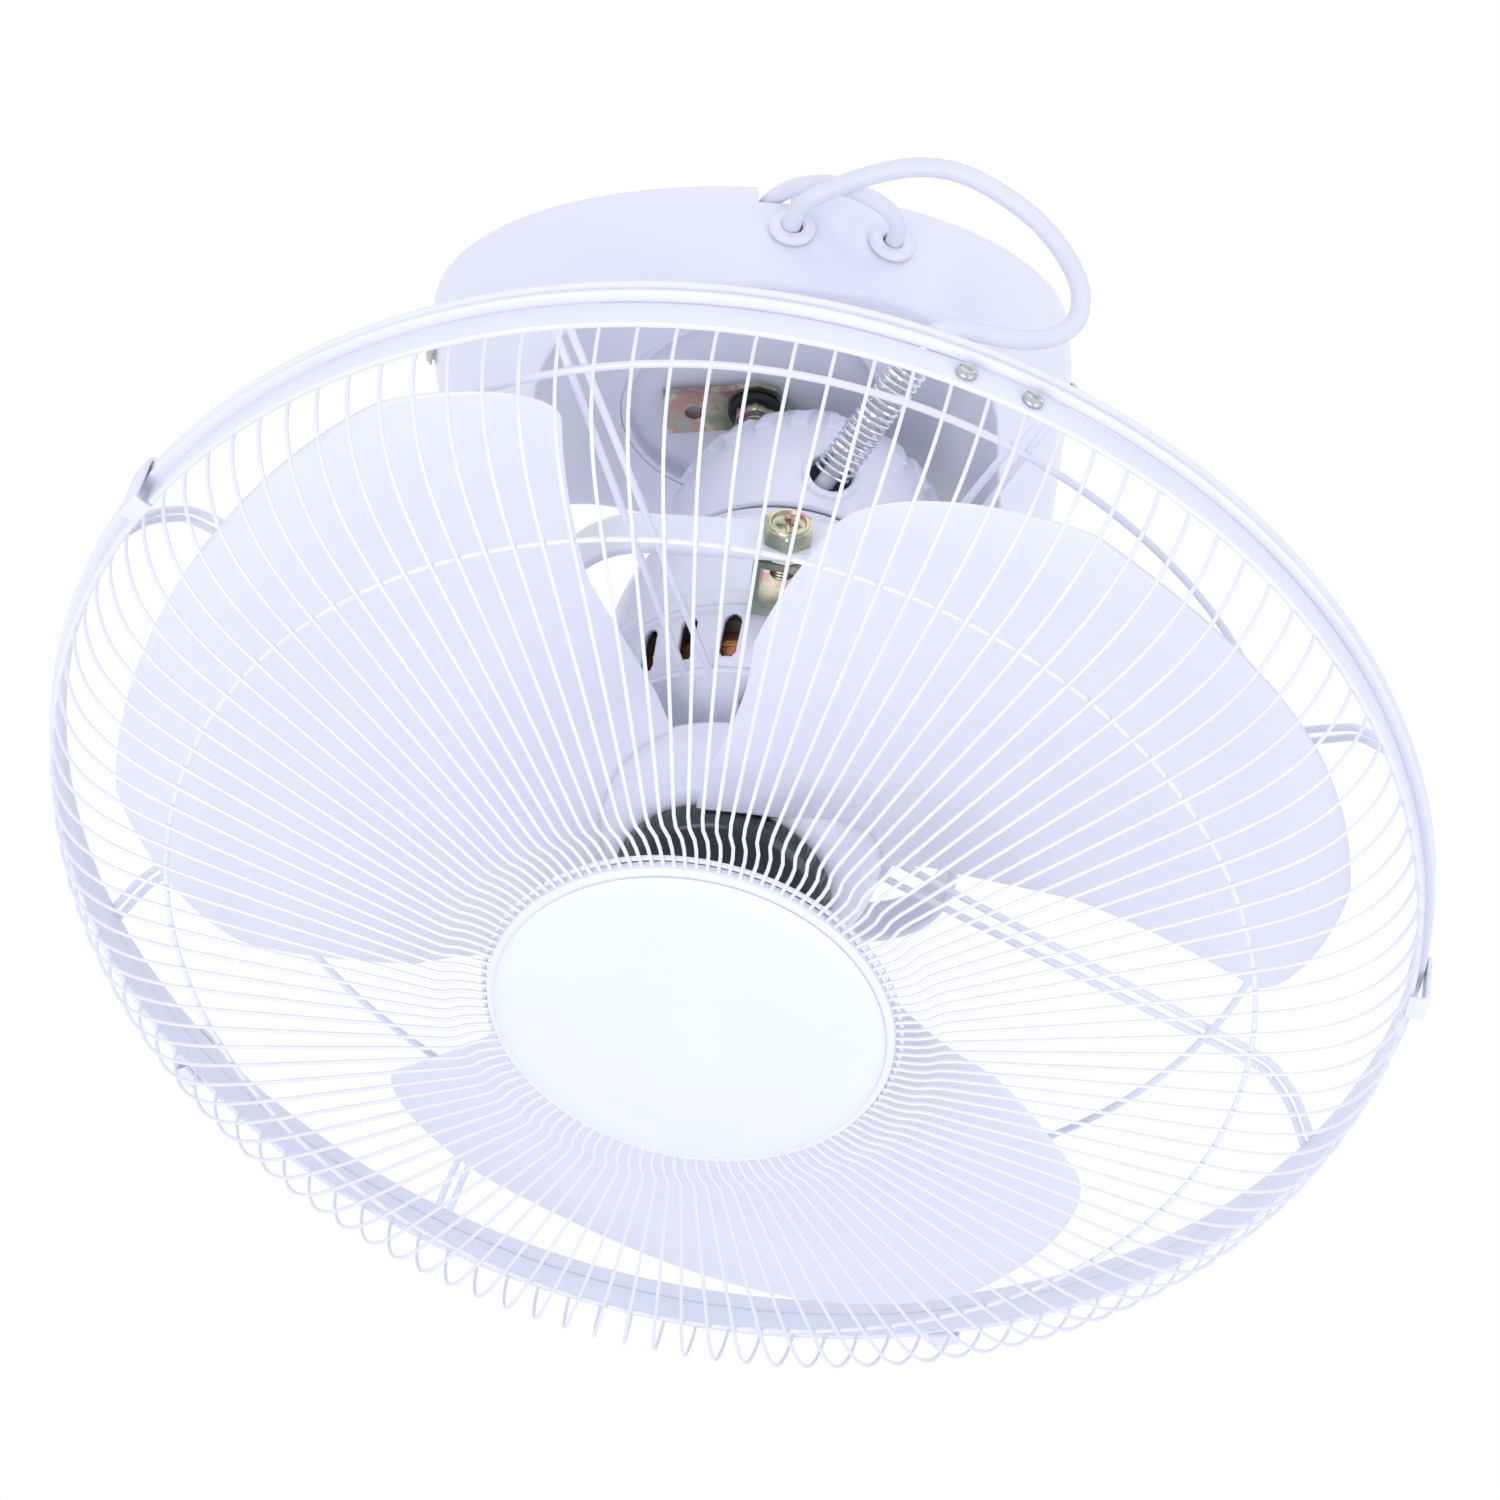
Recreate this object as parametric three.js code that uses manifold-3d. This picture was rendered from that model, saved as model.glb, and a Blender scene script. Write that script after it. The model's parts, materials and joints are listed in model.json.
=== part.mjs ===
// Orbital ceiling fan: a caged fan head that hangs in a gimbal ring under a yoke-shaped ceiling canopy.
// Millimetres, +Z up. The origin is the centre of the ceiling face, so the whole fan lies below z = 0.
// The head is built upright about its own axis (z = 0 at the gimbal centre, blades below) and then tilted.
import * as THREE from "three";
import { mergeVertices } from "three/addons/utils/BufferGeometryUtils.js";
import Module from "manifold-3d";

const wasm = await Module();
wasm.setup();

// ---- Driving dimensions ----
const CANOPY_HALF_X = 113; // top ellipse, half length
const CANOPY_HALF_Y = 64; // top ellipse, half width
const CANOPY_WALL = 3;
const ARCH_HALF = 78; // half width of the opening between the two arms
const ARCH_TOP = -47; // underside of the canopy roof
const ARCH_CORNER = 36;
const DISH_RADIUS = 44; // recess in the canopy roof over the crank
const DISH_TOP = -42;
const PIVOT_Z = -192; // height of the gimbal centre
const ARM_TIP_RADIUS = 24;
const ARM_TIP_Z = -180;
const ARM_SHOULDER = -150; // where an arm starts to narrow

const ROLL_DEG = 8; // how far the head's front is tipped towards -Y at rest
const PITCH_DEG = 11; // how far it is then tipped towards -X

const RING_HALF_X = 72; // gimbal strap, outer
const RING_HALF_Y = 86;
const RING_CORNER = 28;
const RING_HEIGHT = 17;
const STRAP = 3; // strap thickness
const PIVOT_BOLT = 4; // shank radius of the four pivot bolts

const MOTOR_RADIUS = 58;
const MOTOR_WALL = 2;
const MOTOR_FRONT = -27;
const MOTOR_REAR = 62;
const BELL_RADIUS = 48;
const BELL_TOP = 127.8;
const BELL_MOUTH = 36.2;
const SHAFT_RADIUS = 4;

const GUARD_RADIUS = 219.5;
const BAND_TOP = -60;
const BAND_BOTTOM = -70;
const FRONT_WIRES = 30; // the real grille has about 120
const WIRE_RADIUS = 1.1;
const BADGE_RADIUS = 63;
const BADGE_FACE = -134.6;
const BLADE_RADIUS = 196;
const HUB_RADIUS = 48;
const CORD_RADIUS = 3.3;
const GAP = 0.3; // left between pieces that touch

const RAD = Math.PI / 180;

// ---- Finishes ----
const finish = (color, roughness, metalness = 0) =>
  new THREE.MeshStandardMaterial({ color, roughness, metalness });
const shellWhite = finish(0xe9eaf6, 0.3);
const enamelWhite = finish(0xe4e6f0, 0.35, 0.1);
const bladeWhite = finish(0xe2e5f2, 0.25);
const zinc = finish(0xb9a878, 0.35, 0.9);
const steel = finish(0x9a9ca0, 0.35, 0.9);
const spring = finish(0xc4c6cc, 0.25, 1);
const blackPlastic = finish(0x2b2e37, 0.3);
const rubber = finish(0x1d1e20, 0.8);
const nylon = finish(0xe9e6da, 0.5);
const copper = finish(0xb06a34, 0.4, 0.8);
const laminations = finish(0x6d6f74, 0.5, 0.7);
const brass = finish(0xb08d4a, 0.35, 0.9);
const cordWhite = finish(0xdde0ea, 0.45);

// ---- Solids ----
// A closed three.js geometry as a solid, turned the right way out.
function solidOf(geometry) {
  const bare = new THREE.BufferGeometry();
  bare.setAttribute("position", geometry.getAttribute("position"));
  if (geometry.index) {
    bare.setIndex(geometry.index);
  }
  const merged = mergeVertices(bare, 1e-4);
  const index = merged.index.array;
  const at = merged.attributes.position;
  const kept = [];
  const a = new THREE.Vector3();
  const b = new THREE.Vector3();
  const c = new THREE.Vector3();
  let volume = 0;
  for (let i = 0; i < index.length; i += 3) {
    const [p, q, r] = [index[i], index[i + 1], index[i + 2]];
    if (p === q || q === r || p === r) {
      continue;
    }
    kept.push(p, q, r);
    b.fromBufferAttribute(at, q).cross(c.fromBufferAttribute(at, r));
    volume += a.fromBufferAttribute(at, p).dot(b);
  }
  if (volume < 0) {
    kept.reverse();
  }
  const triVerts = new Uint32Array(kept);
  return new wasm.Manifold(new wasm.Mesh({ numProp: 3, vertProperties: at.array, triVerts }));
}

function geometryOf(solid) {
  const mesh = solid.getMesh();
  const geometry = new THREE.BufferGeometry();
  geometry.setAttribute("position", new THREE.BufferAttribute(mesh.vertProperties, 3));
  geometry.setIndex(new THREE.BufferAttribute(mesh.triVerts, 1));
  return geometry.toNonIndexed();
}

const union = (...solids) => solids.reduce((whole, next) => whole.add(next));

// A profile of [radius, z] points turned about Z. It starts and ends on the axis, or closes on itself.
function turned(profile, sides = 32) {
  const points = profile.map(([r, z]) => new THREE.Vector2(r, z));
  const onAxis = profile[0][0] === 0 && profile[profile.length - 1][0] === 0;
  if (!onAxis) {
    points.push(points[0].clone());
  }
  return solidOf(new THREE.LatheGeometry(points, sides).rotateX(Math.PI / 2));
}

const disc = (radius, low, high, sides = 10) =>
  solidOf(new THREE.CylinderGeometry(radius, radius, high - low, sides).rotateX(Math.PI / 2)
    .translate(0, 0, (low + high) / 2));

const tubeRing = (outer, inner, low, high, sides = 10) =>
  turned([[inner, low], [outer, low], [outer, high], [inner, high]], sides);

const box = (x0, x1, y0, y1, z0, z1) =>
  solidOf(new THREE.BoxGeometry(x1 - x0, y1 - y0, z1 - z0)
    .translate((x0 + x1) / 2, (y0 + y1) / 2, (z0 + z1) / 2));

// An outline in the XZ plane, given depth along Y.
const slabAlongY = (shape, y0, y1, curveSegments = 5) =>
  solidOf(new THREE.ExtrudeGeometry(shape, { depth: y1 - y0, bevelEnabled: false, curveSegments })
    .rotateX(Math.PI / 2).translate(0, y1, 0));

// A tube along a curve, with flat ends.
function tube(curve, radius, sides, steps) {
  const section = new THREE.Shape();
  for (let i = 0; i < sides; i++) {
    const angle = (2 * Math.PI * i) / sides;
    const place = [radius * Math.cos(angle), radius * Math.sin(angle)];
    if (i === 0) {
      section.moveTo(...place);
    } else {
      section.lineTo(...place);
    }
  }
  return new THREE.ExtrudeGeometry(section, { steps, extrudePath: curve, bevelEnabled: false });
}

// One unbroken tube: a ring of points square to the wire at every centre-line point.
function wireTube(points, radius, sides) {
  const positions = [];
  const index = [];
  let across = new THREE.Vector3(0, 0, 1);
  points.forEach((point, i) => {
    const before = points[Math.max(i - 1, 0)];
    const after = points[Math.min(i + 1, points.length - 1)];
    const along = after.clone().sub(before).normalize();
    across = across.addScaledVector(along, -across.dot(along)).normalize();
    const third = along.clone().cross(across);
    for (let j = 0; j < sides; j++) {
      const angle = (2 * Math.PI * j) / sides;
      const place = point.clone().addScaledVector(across, radius * Math.cos(angle));
      positions.push(...place.addScaledVector(third, radius * Math.sin(angle)).toArray());
    }
  });
  for (let i = 0; i < points.length - 1; i++) {
    for (let j = 0; j < sides; j++) {
      const a = i * sides + j;
      const b = i * sides + ((j + 1) % sides);
      index.push(a, b, b + sides, a, b + sides, a + sides);
    }
  }
  const last = (points.length - 1) * sides;
  for (let j = 1; j < sides - 1; j++) {
    index.push(0, j + 1, j);
    index.push(last, last + j, last + j + 1);
  }
  const geometry = new THREE.BufferGeometry();
  geometry.setAttribute("position", new THREE.Float32BufferAttribute(positions, 3));
  geometry.setIndex(index);
  return geometry;
}

const curveThrough = (points) =>
  new THREE.CatmullRomCurve3(points.map((p) => new THREE.Vector3(...p)), false, "centripetal");

// Lays a solid built along +Z so that it points along a direction from a place.
function aimed(solid, place, direction) {
  const turn = new THREE.Quaternion().setFromUnitVectors(
    new THREE.Vector3(0, 0, 1),
    new THREE.Vector3(...direction).normalize(),
  );
  const matrix = new THREE.Matrix4().makeRotationFromQuaternion(turn).setPosition(...place);
  return solid.transform(matrix.elements);
}

const repeat = (count, make) => Array.from({ length: count }, (_, i) => make(i));

// ---- Scene graph ----
const fan = new THREE.Group();
const gimbal = new THREE.Group();
gimbal.position.set(0, 0, PIVOT_Z);
gimbal.rotation.x = -ROLL_DEG * RAD;
fan.add(gimbal);
const head = new THREE.Group();
head.rotation.y = PITCH_DEG * RAD;
gimbal.add(head);
fan.updateMatrixWorld(true);

function place(parent, name, solid, material) {
  const mesh = new THREE.Mesh(geometryOf(solid), material);
  mesh.name = name;
  parent.add(mesh);
  return mesh;
}

// A place in the head's own frame, in the part's frame.
const inWorld = (x, y, z) => head.localToWorld(new THREE.Vector3(x, y, z));

// ---- Canopy: an elliptical cup whose two ends run down as arms ----
function archOutline(half, top, corner) {
  const low = -260;
  const shape = new THREE.Shape();
  shape.moveTo(-half, low);
  shape.lineTo(half, low);
  shape.lineTo(half, top - corner);
  shape.absarc(half - corner, top - corner, corner, 0, Math.PI / 2);
  shape.lineTo(-half + corner, top);
  shape.absarc(-half + corner, top - corner, corner, Math.PI / 2, Math.PI);
  return shape;
}

// Half length of the canopy at each height, from the top edge down to the arm tips.
const CANOPY_SIDE = [
  [109, -0.5],
  [112, -3],
  [CANOPY_HALF_X, -8],
  [112.5, -25],
  [109, -50],
  [100, -105],
  [92, -206],
];

function canopyForm(inset, top) {
  const ratio = (CANOPY_HALF_Y - inset) / (CANOPY_HALF_X - inset);
  const side = CANOPY_SIDE.map(([r, z]) => [r - inset, z]);
  side[0][1] = top;
  const last = side[side.length - 1];
  return turned([[0, top], ...side, [0, last[1]]], 32).scale([1, ratio, 1]);
}

// The outline of the arms seen from the end, cut away towards a round tip.
function armOutline(shoulder, tipRadius) {
  const half = 80;
  const top = 5;
  const shape = new THREE.Shape();
  shape.moveTo(-half, top);
  shape.lineTo(-half, shoulder);
  shape.lineTo(-tipRadius, ARM_TIP_Z);
  shape.absarc(0, ARM_TIP_Z, tipRadius, Math.PI, 2 * Math.PI);
  shape.lineTo(half, shoulder);
  shape.lineTo(half, top);
  return shape;
}

const GROMMET_Z = -22;
const GROMMET_HOLE = 6.2;
const HEAD_GROMMET_X = 6.5;
const SUPPLY_GROMMET_X = 41;

// Where a grommet sits on the near wall, and which way it faces.
function grommetSeat(x) {
  const a = 112.5;
  const b = a * (CANOPY_HALF_Y / CANOPY_HALF_X);
  const y = -b * Math.sqrt(1 - (x / a) ** 2);
  return { place: [x, y, GROMMET_Z], out: [x / a ** 2, y / b ** 2, 0] };
}

function canopy() {
  const outer = canopyForm(0, -0.5);
  const room = canopyForm(CANOPY_WALL, 2);
  const depth = 90;
  const arch = slabAlongY(archOutline(ARCH_HALF, ARCH_TOP, ARCH_CORNER), -depth, depth);
  const lining = slabAlongY(
    archOutline(ARCH_HALF + CANOPY_WALL, ARCH_TOP + CANOPY_WALL, ARCH_CORNER + CANOPY_WALL), -depth, depth);
  const dish = turned([[0, -60], [DISH_RADIUS + 3, -60], [DISH_RADIUS + 3, ARCH_TOP - 1],
    [DISH_RADIUS, DISH_TOP], [0, DISH_TOP]], 24);
  const dishLining = disc(DISH_RADIUS + 5, -60, DISH_TOP + CANOPY_WALL, 16);
  const acrossX = (shape) => slabAlongY(shape, -130, 130).rotate([0, 0, 90]);
  const silhouette = acrossX(armOutline(ARM_SHOULDER, ARM_TIP_RADIUS));
  const roomSilhouette = acrossX(armOutline(ARM_SHOULDER + 2, ARM_TIP_RADIUS - CANOPY_WALL));
  const hollow = room.intersect(roomSilhouette).subtract(lining).subtract(dishLining);
  let shell = outer.intersect(silhouette).subtract(arch).subtract(dish).subtract(hollow);
  shell = shell.subtract(disc(PIVOT_BOLT + 0.6, -60, -20));
  for (const side of [-1, 1]) {
    const hole = aimed(disc(4.4, 0, 10), [side * (ARCH_HALF - 3), 0, PIVOT_Z], [side, 0, 0]);
    shell = shell.subtract(hole);
    const screwHole = aimed(disc(2.3, -20, 20, 12), [side * 110, 0, SCREW_Z], [side, 0, 0]);
    shell = shell.subtract(screwHole);
  }
  for (const x of [HEAD_GROMMET_X, SUPPLY_GROMMET_X]) {
    const seat = grommetSeat(x);
    shell = shell.subtract(aimed(disc(GROMMET_HOLE, -9, 9), seat.place, seat.out));
  }
  const notch = box(-9, 7, -80, -40, -10.5, 5);
  return shell.subtract(notch);
}

// ---- What holds the canopy and the head up, inside the canopy ----
const PLATE_HALF_X = 92;
const PLATE_HALF_Y = 46;
const YOKE_X = 85.5; // outside of the yoke's legs
const YOKE_HALF_Y = 8.5;
const YOKE_TOP = -3.4;
const SCREW_Z = -30;

function ceilingPlate() {
  let plate = disc(PLATE_HALF_Y, -3, 0, 28).scale([PLATE_HALF_X / PLATE_HALF_Y, 1, 1]);
  for (const x of [-70, 70]) {
    for (const y of [-15, 15]) {
      plate = plate.subtract(disc(3, -5, 2, 8).translate([x, y, 0]));
    }
  }
  return plate.subtract(disc(12, -5, 2).translate([-30, -26, 0]));
}

function yokeFrame() {
  const inner = YOKE_X - STRAP;
  const low = PIVOT_Z - 6;
  const shape = new THREE.Shape();
  shape.moveTo(-YOKE_X, low);
  shape.lineTo(-inner, low);
  shape.lineTo(-inner, YOKE_TOP - STRAP);
  shape.lineTo(inner, YOKE_TOP - STRAP);
  shape.lineTo(inner, low);
  shape.lineTo(YOKE_X, low);
  shape.lineTo(YOKE_X, YOKE_TOP);
  shape.lineTo(-YOKE_X, YOKE_TOP);
  let frame = slabAlongY(shape, -YOKE_HALF_Y, YOKE_HALF_Y);
  frame = frame.subtract(disc(4.4, -20, 0));
  for (const side of [-1, 1]) {
    frame = frame.subtract(aimed(disc(4.4, 0, 20), [side * 75, 0, PIVOT_Z], [side, 0, 0]));
    frame = frame.subtract(aimed(disc(2.3, 0, 20, 12), [side * 75, 0, SCREW_Z], [side, 0, 0]));
  }
  return frame;
}

const hexNut = (radius, bore, low, high) =>
  disc(radius, low, high, 6).subtract(disc(bore, low - 1, high + 1, 10));

function grommet(x) {
  const seat = grommetSeat(x);
  const bore = CORD_RADIUS + 0.7;
  const body = GROMMET_HOLE - GAP;
  const flange = 8;
  const profile = [[bore, -5.4], [flange, -5.4], [flange, -4], [body, -4], [body, 0.9], [flange, 0.9],
    [flange, 1.9], [flange - 1.5, 2.9], [bore + 0.8, 2.9], [bore, 2.2]];
  return aimed(turned(profile, 10), seat.place, seat.out);
}

// The zinc crank plate: one arm to the tail of the head, one shorter arm with a spare hole.
const CRANK_TOP = -44.3;
const CRANK_LOW = -46.8;
const CRANK_REACH = 29;
const TAIL_AZIMUTH = 35.6 * RAD;
const SPARE_AZIMUTH = 170 * RAD;

function crankPlate() {
  const spare = box(0, 31, -10, 10, CRANK_LOW, CRANK_TOP).rotate([0, 0, SPARE_AZIMUTH / RAD]);
  const arm = box(0, CRANK_REACH, -7, 7, CRANK_LOW, CRANK_TOP).add(
    disc(7, CRANK_LOW, CRANK_TOP, 12).translate([CRANK_REACH, 0, 0])).rotate([0, 0, TAIL_AZIMUTH / RAD]);
  const boss = disc(12, CRANK_LOW, CRANK_TOP);
  const spareHole = disc(3.4, CRANK_LOW - 1, CRANK_TOP + 1)
    .translate([21 * Math.cos(SPARE_AZIMUTH), 21 * Math.sin(SPARE_AZIMUTH), 0]);
  const pinHole = disc(3.3, CRANK_LOW - 1, CRANK_TOP + 1)
    .translate([CRANK_REACH * Math.cos(TAIL_AZIMUTH), CRANK_REACH * Math.sin(TAIL_AZIMUTH), 0]);
  return union(spare, arm, boss).subtract(spareHole).subtract(pinHole)
    .subtract(disc(4.5, CRANK_LOW - 1, CRANK_TOP + 1));
}

place(fan, "ceiling_plate", ceilingPlate(), steel);
place(fan, "canopy", canopy(), shellWhite);
place(fan, "yoke_frame", yokeFrame(), steel);
place(fan, "centre_stud", turned([[0, -54], [PIVOT_BOLT - 0.5, -54], [PIVOT_BOLT, -53.5], [PIVOT_BOLT, -6.8],
  [0, -6.8]], 14), zinc);
place(fan, "stud_spacer", tubeRing(9, 4.4, DISH_TOP + CANOPY_WALL + GAP, YOKE_TOP - STRAP - GAP), steel);
place(fan, "crank_spacer", tubeRing(9, 4.4, CRANK_TOP + GAP, DISH_TOP - GAP, 18), nylon);
place(fan, "centre_bush", turned([[4.4, -49.6], [8.4, -49.6], [9.2, -48.8], [9.2, CRANK_LOW - GAP],
  [4.4, CRANK_LOW - GAP]], 20), rubber);
place(fan, "centre_nut", hexNut(7.5, 4.3, -53.4, -49.9), zinc);
place(fan, "terminal_block", union(box(-58, -22, -12, 4, -26, -10), box(-62, -18, -8, 0, -26, -23)), nylon);
place(fan, "head_cord_grommet", grommet(HEAD_GROMMET_X), shellWhite);
place(fan, "supply_cord_grommet", grommet(SUPPLY_GROMMET_X), shellWhite);
for (const [side, name] of [[-1, "left"], [1, "right"]]) {
  const outside = 112.1;
  const screw = turned([[0, outside + 2.6], [2.5, outside + 2.2], [4, outside + 0.8], [4, outside + 0.3],
    [2, outside + 0.3], [2, 81], [0, 81]], 10);
  place(fan, `canopy_screw_${name}`, aimed(screw, [0, 0, SCREW_Z], [side, 0, 0]), steel);
  const bolt = union(disc(7.6, 65, 69 - GAP, 6), disc(PIVOT_BOLT, 68, 86, 14));
  place(fan, `roll_bolt_${name}`, aimed(bolt, [0, 0, PIVOT_Z], [side, 0, 0]), zinc);
  const bush = tubeRing(8, 4.4, RING_HALF_X + GAP, ARCH_HALF - GAP);
  place(fan, `roll_bush_${name}`, aimed(bush, [0, 0, PIVOT_Z], [side, 0, 0]), nylon);
}
place(fan, "crank_plate", crankPlate(), zinc);
place(fan, "crank_pin", turned([[0, -50.8], [5, -50.8], [5, CRANK_LOW - GAP], [3, CRANK_LOW - GAP],
  [3, CRANK_TOP + 0.6], [0, CRANK_TOP + 0.6]], 10)
  .translate([CRANK_REACH * Math.cos(TAIL_AZIMUTH), CRANK_REACH * Math.sin(TAIL_AZIMUTH), 0]), steel);

// ---- Gimbal ring: a strap bent into a rounded rectangle ----
function roundedFrame(halfX, halfY, corner) {
  const shape = new THREE.Shape();
  shape.absarc(halfX - corner, halfY - corner, corner, 0, Math.PI / 2);
  shape.absarc(-halfX + corner, halfY - corner, corner, Math.PI / 2, Math.PI);
  shape.absarc(-halfX + corner, -halfY + corner, corner, Math.PI, 1.5 * Math.PI);
  shape.absarc(halfX - corner, -halfY + corner, corner, 1.5 * Math.PI, 2 * Math.PI);
  return shape;
}

function gimbalRing() {
  const outline = roundedFrame(RING_HALF_X, RING_HALF_Y, RING_CORNER);
  outline.holes.push(roundedFrame(RING_HALF_X - STRAP, RING_HALF_Y - STRAP, RING_CORNER - STRAP));
  let ring = solidOf(new THREE.ExtrudeGeometry(outline,
    { depth: RING_HEIGHT, bevelEnabled: false, curveSegments: 3 }).translate(0, 0, -RING_HEIGHT / 2));
  ring = ring.subtract(aimed(disc(4.4, -100, 100), [0, 0, 0], [1, 0, 0]));
  return ring.subtract(aimed(disc(4.4, -100, 100), [0, 0, 0], [0, 1, 0]));
}

place(gimbal, "gimbal_ring", gimbalRing(), enamelWhite);
const BRACKET_END = 80; // the head's pivot lugs reach this far from the axis
for (const [side, name] of [[-1, "near"], [1, "far"]]) {
  const seat = RING_HALF_Y + GAP;
  const recess = union(box(-4, 4, -1, 1, seat + 4.6, seat + 9), box(-1, 1, -4, 4, seat + 4.6, seat + 9));
  const capped = turned([[0, seat], [8, seat], [8, seat + 5.4], [7.2, seat + 6.4], [0, seat + 6.4]], 6);
  const bolt = union(capped.subtract(recess), disc(PIVOT_BOLT, 71, seat + 1, 14));
  place(gimbal, `pitch_bolt_${name}`, aimed(bolt, [0, 0, 0], [0, side, 0]), zinc);
  const bush = tubeRing(7, 4.4, BRACKET_END + GAP, RING_HALF_Y - STRAP - GAP);
  place(gimbal, `pitch_bush_${name}`, aimed(bush, [0, 0, 0], [0, side, 0]), nylon);
}

// ---- Motor ----
const BOSS_RADIUS = 22;
const BOSS_FRONT = -36;
const BEARING_OUTER = 8.6;
const SPLIT = -2; // where the two covers meet
const VENTS = 12; // slots round the front cover

function pivotBracket(side) {
  const half = 9;
  const sheet = 2.6;
  const tall = 7;
  const end = box(-half, half, BRACKET_END - sheet, BRACKET_END, -tall, tall);
  const cheeks = [-1, 1].map((s) => {
    const [x0, x1] = [s * (half - sheet), s * half].sort((p, q) => p - q);
    return box(x0, x1, 50, BRACKET_END, -tall, tall);
  });
  const channel = union(end, ...cheeks, box(-half, half, 50, 64, -tall, tall))
    .subtract(disc(MOTOR_RADIUS + GAP, -20, 20, 48))
    .subtract(aimed(disc(4.4, 70, 90), [0, 0, 0], [0, 1, 0]));
  return side < 0 ? channel.rotate([0, 0, 180]) : channel;
}

function motorFrontCover() {
  const r = MOTOR_RADIUS;
  const w = MOTOR_WALL;
  const f = MOTOR_FRONT;
  let cover = turned([[r, SPLIT], [r, f + 5], [r - 4, f], [BOSS_RADIUS, f], [BOSS_RADIUS, BOSS_FRONT],
    [BEARING_OUTER + GAP, BOSS_FRONT], [BEARING_OUTER + GAP, f + w], [r - 4 - w, f + w], [r - w, f + 5],
    [r - w, SPLIT]], 20);
  for (let k = 0; k < 6; k++) {
    cover = cover.subtract(disc(6, f - 1, f + 3, 8).translate([40, 0, 0]).rotate([0, 0, 60 * k + 30]));
  }
  const slot = box(r - 8, r + 4, -3, 3, f + 7, SPLIT - 3);
  for (let k = 0; k < VENTS; k++) {
    cover = cover.subtract(slot.rotate([0, 0, (k + 0.5) * (360 / VENTS)]));
  }
  return cover;
}

function motorRearCover() {
  const r = MOTOR_RADIUS;
  const w = MOTOR_WALL;
  const top = MOTOR_REAR;
  return turned([[r - w, SPLIT + GAP], [r, SPLIT + GAP], [r, 38], [55.5, 48], [50, 57], [46, top],
    [BEARING_OUTER + GAP, top], [BEARING_OUTER + GAP, top - 4], [44, top - w], [48, 56], [53.5, 47],
    [r - w, 37.5]], 24);
}

function statorCore() {
  let core = tubeRing(54, 32.5, -6, 22, 32);
  for (let k = 0; k < 8; k++) {
    core = core.subtract(box(30, 42, -2, 2, -10, 30).rotate([0, 0, 45 * k]));
  }
  return core;
}

place(head, "motor_front_cover", motorFrontCover(), shellWhite);
place(head, "motor_rear_cover", motorRearCover(), shellWhite);
place(head, "pivot_bracket_near", pivotBracket(-1), zinc);
place(head, "pivot_bracket_far", pivotBracket(1), zinc);
place(head, "stator_core", statorCore(), laminations);
place(head, "stator_winding_front", turned([[43.5, -18], [50, -17], [52, -12], [50, -6.4], [43.5, -6.4]],
  16), copper);
place(head, "stator_winding_rear", turned([[43.5, 22.4], [50, 22.4], [52, 28], [50, 33], [43.5, 34]],
  16), copper);
const bearing = (low, high) => tubeRing(BEARING_OUTER, SHAFT_RADIUS + GAP, low, high);
place(head, "bearing_front", bearing(BOSS_FRONT + 0.5, MOTOR_FRONT), brass);
place(head, "bearing_rear", bearing(MOTOR_REAR - 6, MOTOR_REAR + 2), brass);

// ---- Gearbox at the tail: worm, worm wheel, bracket, tail stud, and the bell-shaped cover ----
const WHEEL_Y = 19.8;
const WHEEL_Z = 80;
const WHEEL_TEETH = 20;

function gearOutline(teeth, root, tip) {
  const shape = new THREE.Shape();
  for (let i = 0; i < teeth; i++) {
    const step = (2 * Math.PI) / teeth;
    const corners = [[root, 0], [root, 0.4], [tip, 0.55], [tip, 0.85]];
    corners.forEach(([r, share], j) => {
      const angle = (i + share) * step;
      const point = [r * Math.cos(angle), r * Math.sin(angle)];
      if (i === 0 && j === 0) {
        shape.moveTo(...point);
      } else {
        shape.lineTo(...point);
      }
    });
  }
  return shape;
}

const wormWheel = aimed(solidOf(new THREE.ExtrudeGeometry(gearOutline(WHEEL_TEETH, 11, 12.8),
  { depth: 7, bevelEnabled: false }).translate(0, 0, -3.5)).subtract(disc(2.9, -5, 5)),
[0, WHEEL_Y, WHEEL_Z], [1, 0, 0]);

// The bracket with the wheel's pin riveted in it.
function gearBracket() {
  const sides = [-1, 1].map((s) => {
    const [x0, x1] = [s * 5, s * 7.5].sort((p, q) => p - q);
    return box(x0, x1, 12, 28, 64.4, 90);
  });
  const pin = aimed(disc(2.5, -9, 9), [0, WHEEL_Y, WHEEL_Z], [1, 0, 0]);
  return union(box(-12, 12, 11, 34, 64.4, 66.4), ...sides, pin);
}

// The worm: a core with one raised turn after another.
const WORM_RIDGES = repeat(4, (i) => [[4.6, 69.4 + 4 * i], [6.2, 70.2 + 4 * i], [6.2, 71 + 4 * i],
  [4.6, 71.8 + 4 * i]]).flat();
const WORM_BORE = SHAFT_RADIUS + GAP;
const WORM_COLLAR = 5.2;

const BELL_SIDE = [[BELL_RADIUS, MOTOR_REAR + GAP], [BELL_RADIUS, 95], [46.5, 105], [42.7, 116],
  [BELL_MOUTH, BELL_TOP]];
const BELL_NOTCHES = 16;
const SPRING_START = [5, -46, 79.5]; // where the cord leaves the bell, in the head's frame
const collarPlace = inWorld(...SPRING_START);

// The strain-relief spring's centre line and the cord's route, in the part's frame.
const SPRING_TIP = [46.5, -74, -87.5];
const springDirection = new THREE.Vector3(...SPRING_TIP).sub(collarPlace).normalize();

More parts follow.
